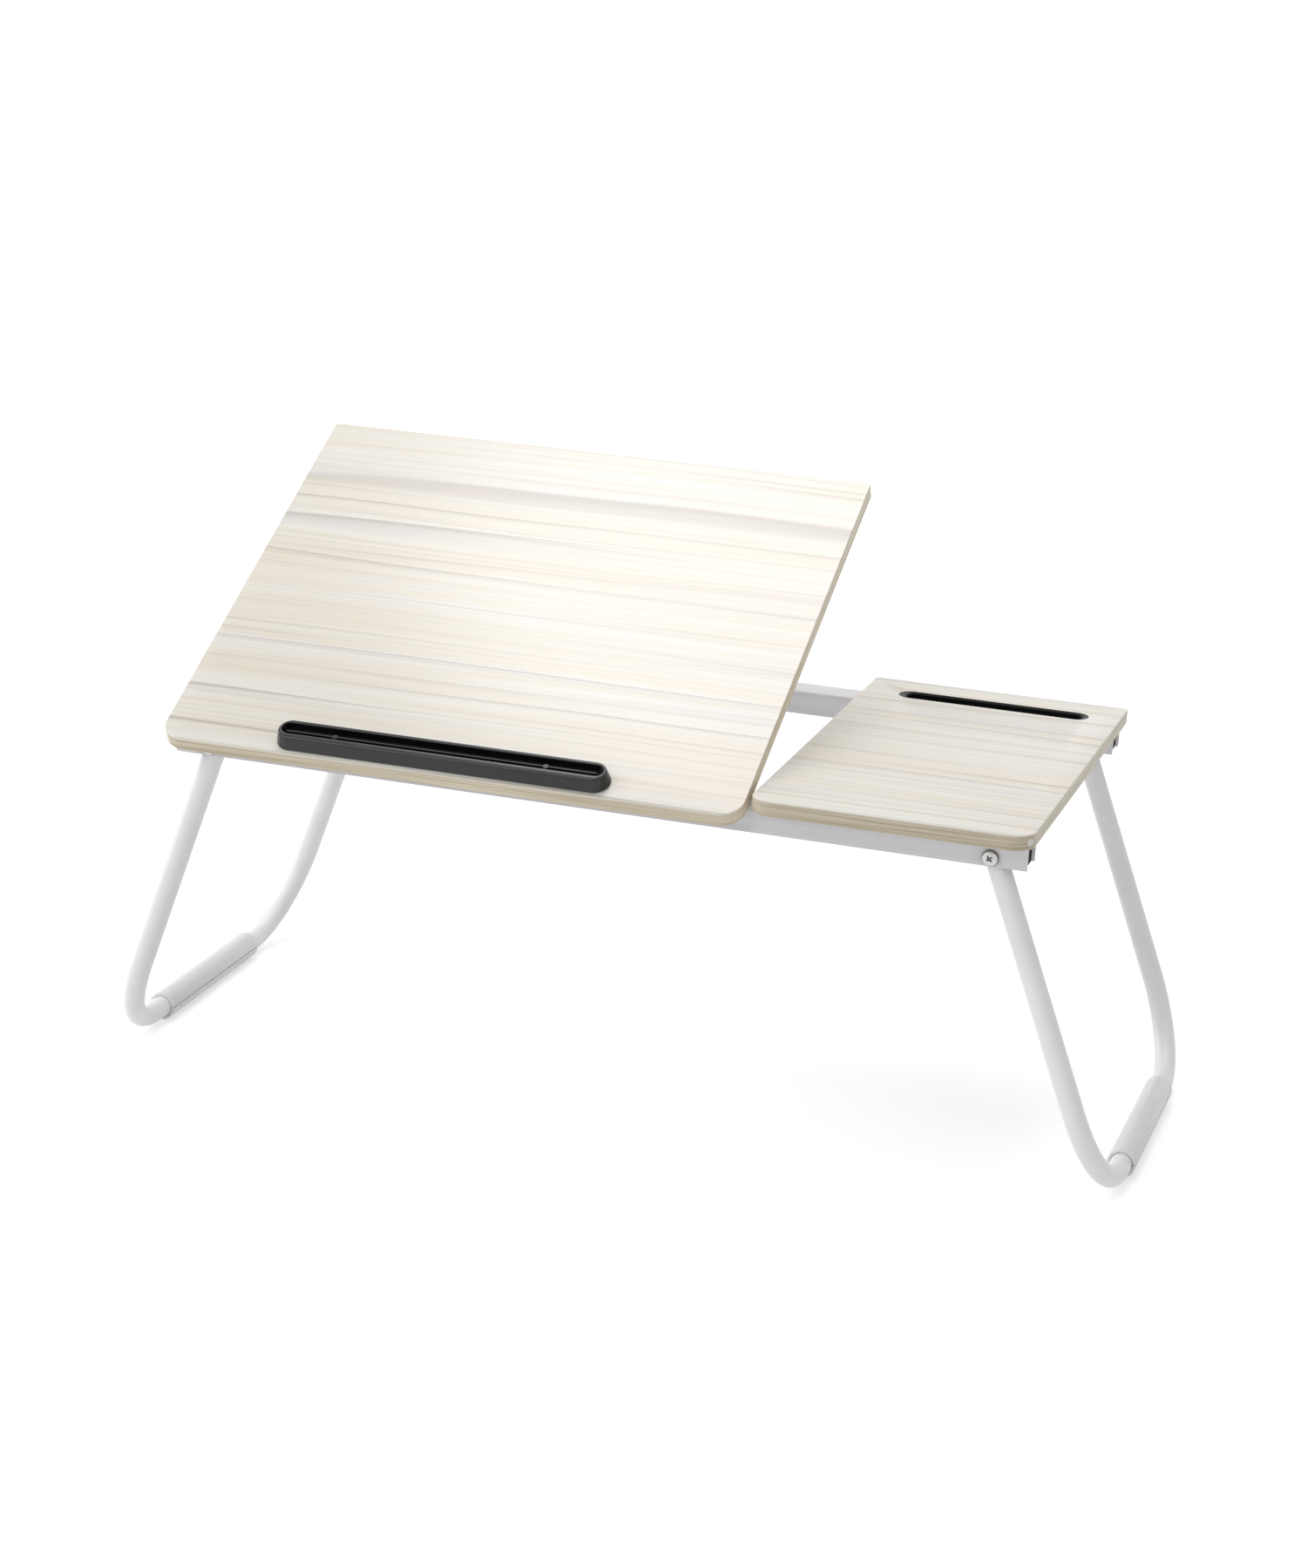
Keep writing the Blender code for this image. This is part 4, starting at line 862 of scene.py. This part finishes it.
def make_leg(side, looks):
    splay = SIDE_NAMES[side] * LEG_SPLAYS[side]
    pivot = Vector(JOINTS[f"{side}_leg_fold"]["pos_m"])
    place = Matrix.Translation(pivot) @ Matrix.Rotation(-splay, 4, "Y")
    low, high = extent(node_points(f"{side}_leg_tube", place))
    foot = low.z + TUBE_R
    make_leg_tube(side, place, high.y - TUBE_R, foot, looks)
    make_foot_sleeve(side, place, foot, splay, looks)


# Book stop


def make_book_stop(looks):
    """A moulded bar: round ends, a trough in its top, and a rib with two bumps in the trough."""
    low, high = extent(node_points("reading_board"))
    centre_x = (low.x + high.x) / 2 + STOP_SHIFT
    centre_y = STOP_FROM_FRONT + STOP_WIDTH / 2 - HINGE_FROM_FRONT
    seat = PANEL @ Matrix.Translation((centre_x, centre_y, BOARD_UNDERSIDE + BOARD_THICKNESS + SEAT_GAP))
    trough_middle = STOP_WIDTH / 2 - STOP_DRAFT - STOP_REAR_RIM - TROUGH_WIDTH / 2
    trough_length = STOP_LENGTH - 2 * (STOP_DRAFT + STOP_END_RIM)

    def outside(inset, z):
        size = (STOP_LENGTH - 2 * inset, STOP_WIDTH - 2 * inset)
        return size, size[1] / 2 * NEARLY_ROUND, (0, 0), z

    def inside(grow, z):
        size = (trough_length + 2 * grow, TROUGH_WIDTH + 2 * grow)
        return size, size[1] / 2 * NEARLY_ROUND, (0, trough_middle), z

    rings = [outside(STOP_FOOT_INSET, 0), outside(0, STOP_FOOT_HEIGHT)]
    for a in map(math.radians, (0, 20, 40, 60, 78)):
        inset = STOP_DRAFT + STOP_EDGE_R * (1 - math.cos(a))
        rings.append(outside(inset, STOP_HEIGHT - STOP_EDGE_R + STOP_EDGE_R * math.sin(a)))
    for a in map(math.radians, (80, 50, 20)):
        grow = TROUGH_LIP_R * (1 - math.cos(a))
        rings.append(inside(grow, STOP_HEIGHT - TROUGH_LIP_R + TROUGH_LIP_R * math.sin(a)))
    rings += [inside(0, STOP_HEIGHT - TROUGH_LIP_R), inside(-TROUGH_DRAFT, STOP_HEIGHT - TROUGH_DEPTH)]
    stop = new_piece("book_stop_moulding", stack(rings, corner_steps=14))

    rib_y = trough_middle - TROUGH_WIDTH / 2 + RIB_FROM_TROUGH_FRONT + RIB_THICKNESS / 2
    rib_half = trough_length / 2 - RIB_SHORT_OF_TROUGH
    rib_top = STOP_HEIGHT - RIB_BELOW_RIM
    rib_foot = STOP_HEIGHT - TROUGH_DEPTH - CUT_PAST
    rib = new_piece("rib", block((-rib_half, rib_y - RIB_THICKNESS / 2, rib_foot),
                                 (rib_half, rib_y + RIB_THICKNESS / 2, rib_top)))
    soften(rib, RIB_EDGE, segments=3)
    for side in (-1, 1):
        middle = Matrix.Translation((side * BUMP_HALF_SPACING, rib_y, (rib_foot + rib_top) / 2))
        join_shape(rib, rod(BUMP_R, rib_top - rib_foot, middle, segments=24), "UNION")
    bm = bmesh.new()
    bm.from_mesh(rib.data)
    bpy.data.objects.remove(rib)
    join_shape(stop, bm, "UNION")
    stop.data.transform(seat)
    dress(smooth(stop, angle=34), "reading_panel", ["book_stop"], "black_plastic", looks["stop"])


# Prop


def make_prop(looks):
    """One wire bent to a U, with its two ends turned outwards into the clips."""
    low, high = extent(node_points("prop_wire"))
    half = (high.x - low.x) / 2
    arm = half - PROP_END_LENGTH
    end, foot = PROP_END_BEND_R, PROP_FOOT_BEND_R
    side = PROP_LENGTH - end - foot
    bm = bmesh.new()
    start = Matrix.Translation((-half, 0, 0)) @ ALONG_X
    made = bmesh.ops.create_circle(bm, cap_ends=False, segments=28, radius=WIRE_R, matrix=start)
    first = edges_of(made["verts"])
    ring = drawn(bm, first, (PROP_END_LENGTH - end, 0, 0))
    ring = bent(bm, ring, (-arm - end, end, 0), (0, 0, 1), 90)
    ring = drawn(bm, ring, (0, side, 0))
    ring = bent(bm, ring, (foot - arm, PROP_LENGTH - foot, 0), (0, 0, 1), -90)
    ring = drawn(bm, ring, (2 * (arm - foot), 0, 0))
    ring = bent(bm, ring, (arm - foot, PROP_LENGTH - foot, 0), (0, 0, 1), -90)
    ring = drawn(bm, ring, (0, -side, 0))
    ring = bent(bm, ring, (arm + end, end, 0), (0, 0, 1), 90)
    ring = drawn(bm, ring, (PROP_END_LENGTH - end, 0, 0))
    for edges in (first, ring):
        bmesh.ops.contextual_create(bm, geom=edges)
    wire = new_piece("prop_bent_wire", bm)
    soften(wire, WIRE_EDGE, segments=3, angle=60)
    prop_hinge = Matrix.Translation(((high.x + low.x) / 2, PROP_LENGTH, 0))
    wire.data.transform(PANEL @ prop_hinge @ Matrix.Rotation(-2 * TILT, 4, "X"))
    dress(smooth(wire, angle=50), "prop", ["prop_wire"], "white_paint", looks["tube"])


# Small pieces


def fine_screw(node, place, sizes, cross, cross_turn, looks):
    """A screw whose head stands up from the place's origin, with a tapered cross recess."""
    shank_r, head_r, head_height = sizes
    cross_length, cross_width, cross_depth = cross
    length = -min(point.z for point in node_points(node, place))
    brow = head_height / 3
    profile = []
    for degrees in range(0, 91, 10):
        a = math.radians(degrees)
        up = math.cos(a) ** DOME_FULLNESS if degrees < 90 else 0
        profile.append((head_r * math.sin(a) ** DOME_FULLNESS, brow + (head_height - brow) * up))
    tip = shank_r / 2
    profile += [(head_r, 0), (shank_r, 0), (shank_r, tip - length), (shank_r - tip, -length), (0, -length)]
    bm = bmesh.new()
    verts = [bm.verts.new((x, 0, z)) for x, z in profile]
    edges = [bm.edges.new(pair) for pair in zip(verts, verts[1:])]
    bmesh.ops.spin(
        bm, geom=verts + edges, cent=(0, 0, 0), axis=(0, 0, 1), angle=2 * math.pi, steps=36, use_merge=True
    )
    screw = new_piece(f"{node}_turned", bm)
    for turn in (0, 90):
        arm = block((-cross_length / 2, -cross_width / 2, head_height - cross_depth),
                    (cross_length / 2, cross_width / 2, head_height + cross_depth))
        # The cross's faces take the second, darker zinc: painted shade in the recess.
        for face in arm.faces:
            face.material_index = 1
        foot = [vert for vert in arm.verts if vert.co.z < head_height]
        bmesh.ops.scale(arm, verts=foot, vec=CROSS_FOOT_SHARE)
        join_shape(screw, arm, place=Matrix.Rotation(math.radians(turn + cross_turn), 4, "Z"))
    soften(screw, SCREW_EDGE)
    # The head's side takes the darker zinc too: painted shade round the head.
    for face in screw.data.polygons:
        if math.hypot(face.center.x, face.center.y) > head_r * HEAD_SIDE_SHARE and face.center.z > 0:
            face.material_index = 1
    screw.data.transform(place)
    steels = (looks["steel"], looks["painted_shade_steel"])
    dress(smooth(screw, angle=34), body_of(node), [node], "plated_steel", *steels)


def make_screws(looks):
    """Each cross is turned by its own angle, as screws are left when they are driven."""
    for row, outward in ROW_NAMES.items():
        for side in SIDE_NAMES:
            node = f"{row}_{side}_pivot_screw"
            low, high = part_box(node)
            middle = (low + high) / 2
            seat = low.y + PIVOT_SCREW[2] if outward < 0 else high.y - PIVOT_SCREW[2]
            place = Matrix.Translation((middle.x, seat, middle.z))
            place = place @ Matrix.Rotation(-outward * math.pi / 2, 4, "X")
            fine_screw(node, place, PIVOT_SCREW, PIVOT_CROSS, PIVOT_CROSS_TURNS[side], looks)
    down = Matrix.Rotation(math.pi, 4, "X")
    names = [name for name in frame["nodes"] if "_screw" in name and "pivot" not in name]
    for index, node in enumerate(sorted(names)):
        flat = PANEL if body_of(node) == "reading_panel" else Matrix()
        low, high = extent(node_points(node, flat))
        seat = ((low.x + high.x) / 2, (low.y + high.y) / 2, low.z + BOARD_SCREW[2])
        place = flat @ Matrix.Translation(seat) @ down
        fine_screw(node, place, BOARD_SCREW, BOARD_CROSS, BOARD_CROSS_TURN * index, looks)


def softened_copy(node, body, slot, material, width):
    """The solid's own shape with its edges rounded."""
    bm = bmesh.new()
    bm.from_mesh(frame["nodes"][node].data)
    bmesh.ops.remove_doubles(bm, verts=bm.verts, dist=MERGE_WITHIN)
    bmesh.ops.dissolve_limit(bm, angle_limit=math.radians(1), verts=bm.verts, edges=bm.edges)
    piece = new_piece(f"{node}_shaped", bm)
    soften(piece, width)
    dress(smooth(piece), body, [node], slot, material)


def make_small_pieces(looks):
    corners = [f"{row}_{side}" for row in ROW_NAMES for side in SIDE_NAMES]
    for index in HINGES:
        softened_copy(f"hinge_bracket_{index}", "reading_panel", "white_paint", looks["paint"], PLATE_EDGE)
    for index in PROP_CLIPS:
        softened_copy(f"prop_clip_{index}", "reading_panel", "plated_steel", looks["steel"], CLIP_EDGE)
    for corner in corners:
        softened_copy(f"{corner}_pivot_nut", "frame", "plated_steel", looks["steel"], NUT_EDGE)
    for corner in corners:
        softened_copy(f"{corner}_end_plug", "frame", "black_plastic", looks["black"], PLUG_EDGE)
    for side in SIDE_NAMES:
        softened_copy(f"{side}_rack", "frame", "white_paint", looks["paint"], PLATE_EDGE)


def paint_nodes(looks):
    """Finishes for the solids that stay as they are."""
    slots = {row["node"]: row["material_slot"] for row in frame["record"]["subparts"]}
    finishes = {
        "white_paint": looks["paint"],
        "wood_print": looks["underside"],
        "black_plastic": looks["black"],
        "clear_rubber": looks["rubber"],
        "nylon": looks["nylon"],
        "plated_steel": looks["steel"],
    }
    for name, node in frame["nodes"].items():
        if node.hide_render:
            continue
        finish = finishes[slots[name]]
        if not node.material_slots:
            node.data.materials.append(finish)
        for slot in node.material_slots:
            slot.link = "OBJECT"
            slot.material = finish


# Setting


def make_floor():
    """A plain pale floor that shows white and keeps the shadows."""
    bm = bmesh.new()
    bmesh.ops.create_grid(bm, x_segments=1, y_segments=1, size=FLOOR_REACH)
    floor = new_piece("floor", bm)
    material = bpy.data.materials.new("plain pale floor")
    material.use_nodes = True
    nodes = Nodes(material.node_tree)
    nodes.tree.nodes.clear()
    matt = nodes.node("ShaderNodeBsdfDiffuse", sockets={"Color": FLOOR_COLOUR})
    glow = nodes.node("ShaderNodeEmission", sockets={"Strength": nodes.background_rays() * FLOOR_GLOW})
    both = nodes.node("ShaderNodeAddShader", sockets={0: matt, 1: glow})
    nodes.node("ShaderNodeOutputMaterial", sockets={"Surface": both})
    floor.data.materials.append(material)


def make_world():
    """A softly lit room, which shows as a white wall."""
    world = bpy.data.worlds.new("studio")
    bpy.context.scene.world = world
    world.use_nodes = True
    nodes = Nodes(world.node_tree)
    nodes.tree.nodes.clear()
    white = (1, 1, 1)
    room = nodes.node("ShaderNodeBackground", sockets={"Color": white, "Strength": ROOM_LIGHT})
    wall = nodes.node("ShaderNodeBackground", sockets={"Color": white, "Strength": WHITE_WALL})
    mix = nodes.node("ShaderNodeMixShader", sockets={0: nodes.background_rays(), 1: room, 2: wall})
    nodes.node("ShaderNodeOutputWorld", sockets={"Surface": mix})


def facing(direction):
    return Vector(direction).to_track_quat("-Z", "Y").to_euler()


def sun(name, towards, spread, power):
    """A broad even light from far off, on the side that the vector points to."""
    light = bpy.data.lights.new(name, "SUN")
    light.angle = math.radians(spread)
    light.energy = power
    show(name, light).rotation_euler = facing(-Vector(towards))


def softbox(name, place, aim, size, power):
    light = bpy.data.lights.new(name, "AREA")
    light.shape = "RECTANGLE"
    light.size, light.size_y = size
    light.energy = power
    lamp = show(name, light)
    lamp.location = place
    lamp.rotation_euler = facing(Vector(aim) - Vector(place))


def make_camera():
    data = bpy.data.cameras.new("camera")
    data.sensor_width = 36
    data.lens = LENS
    data.clip_start = 0.05
    data.clip_end = 60
    camera = show("camera", data)
    right, up = Vector(CAMERA_RIGHT), Vector(CAMERA_UP)
    turn = Matrix((right, up, right.cross(up))).transposed().to_4x4()
    camera.matrix_world = Matrix.Translation(CAMERA_PLACE) @ turn
    bpy.context.scene.camera = camera


def make_looks():
    side = box_middle("side_board")
    panel_x = box_middle("reading_board").x
    panel_z = BOARD_UNDERSIDE + BOARD_THICKNESS / 2
    panel = PANEL @ Vector((panel_x, READING_BOARD_MIDDLE_FROM_HINGE, panel_z))
    tilted, level = (TILT, 0, 0), (0, 0, 0)
    # The edge strips are one print in two tones: the reading board's is painted lighter than the side board's,
    # standing in for light.
    pale, dark = tone(240, 230, 206), tone(198, 184, 156)
    side_pale, side_dark = tone(212, 202, 180), tone(168, 156, 130)
    return {
        "reading_top": laminate("reading board print", panel, tilted, seed=3.0, gloss=1.56),
        "side_top": laminate("side board print", side, level, seed=41.0, gloss=1.46),
        "reading_edge": banding("reading board edge strip", panel, tilted, pale, dark, seed=2.0),
        "side_edge": banding("side board edge strip", side, level, side_pale, side_dark, seed=8.0),
        "underside": moulded("backing paper", tone(226, 222, 210), tone(214, 209, 196), 0.55),
        "paint": paint("white powder coat", tone(233, 232, 236), tone(225, 224, 229)),
        # A lighter copy of the white powder coat for the tubes and the prop wire: painted light.
        "tube": paint("white powder coat on tube, painted lighter", tone(250, 250, 252), tone(243, 243, 247)),
        "black": moulded("black plastic", tone(14, 14, 14), tone(22, 21, 21), 0.62, 1.15),
        "slot": moulded("black paint in the slot", tone(18, 17, 17), tone(26, 24, 23), 0.40),
        "stop": moulded("black plastic of the stop", tone(20, 19, 19), tone(30, 29, 28), 0.16),
        "rubber": clear_rubber("clear rubber"),
        "nylon": moulded("nylon", tone(232, 230, 222), tone(220, 218, 210), 0.45),
        # Darker zinc for the screws' cross recesses and the sides of their heads: painted shade.
        "painted_shade_steel": plated("zinc plate with painted shade", tone(112, 108, 106), tone(70, 67, 66)),
        "steel": plated("zinc plate", tone(206, 206, 204), tone(180, 181, 182)),
    }


def build():
    looks = make_looks()
    make_side_board(looks)
    make_corner_white_dot(looks)
    make_reading_board(looks)
    make_rails(looks)
    make_cross_members(looks)
    for side in SIDE_NAMES:
        make_leg(side, looks)
    make_book_stop(looks)
    make_prop(looks)
    make_screws(looks)
    make_small_pieces(looks)
    paint_nodes(looks)
    make_floor()
    make_world()
    sun("broad light from the front", towards=(-0.9, -0.8, 1.0), spread=60, power=1.0)
    sun("light along the left", towards=(-1.0, 0.25, 0.2), spread=30, power=0.7)
    softbox("wide box over the back", place=(-0.2, 0.9, 2.7), aim=(0, 0.05, 0.25), size=(1.5, 1.6), power=24)
    make_camera()
    bpy.context.scene.view_settings.view_transform = "Standard"


build()
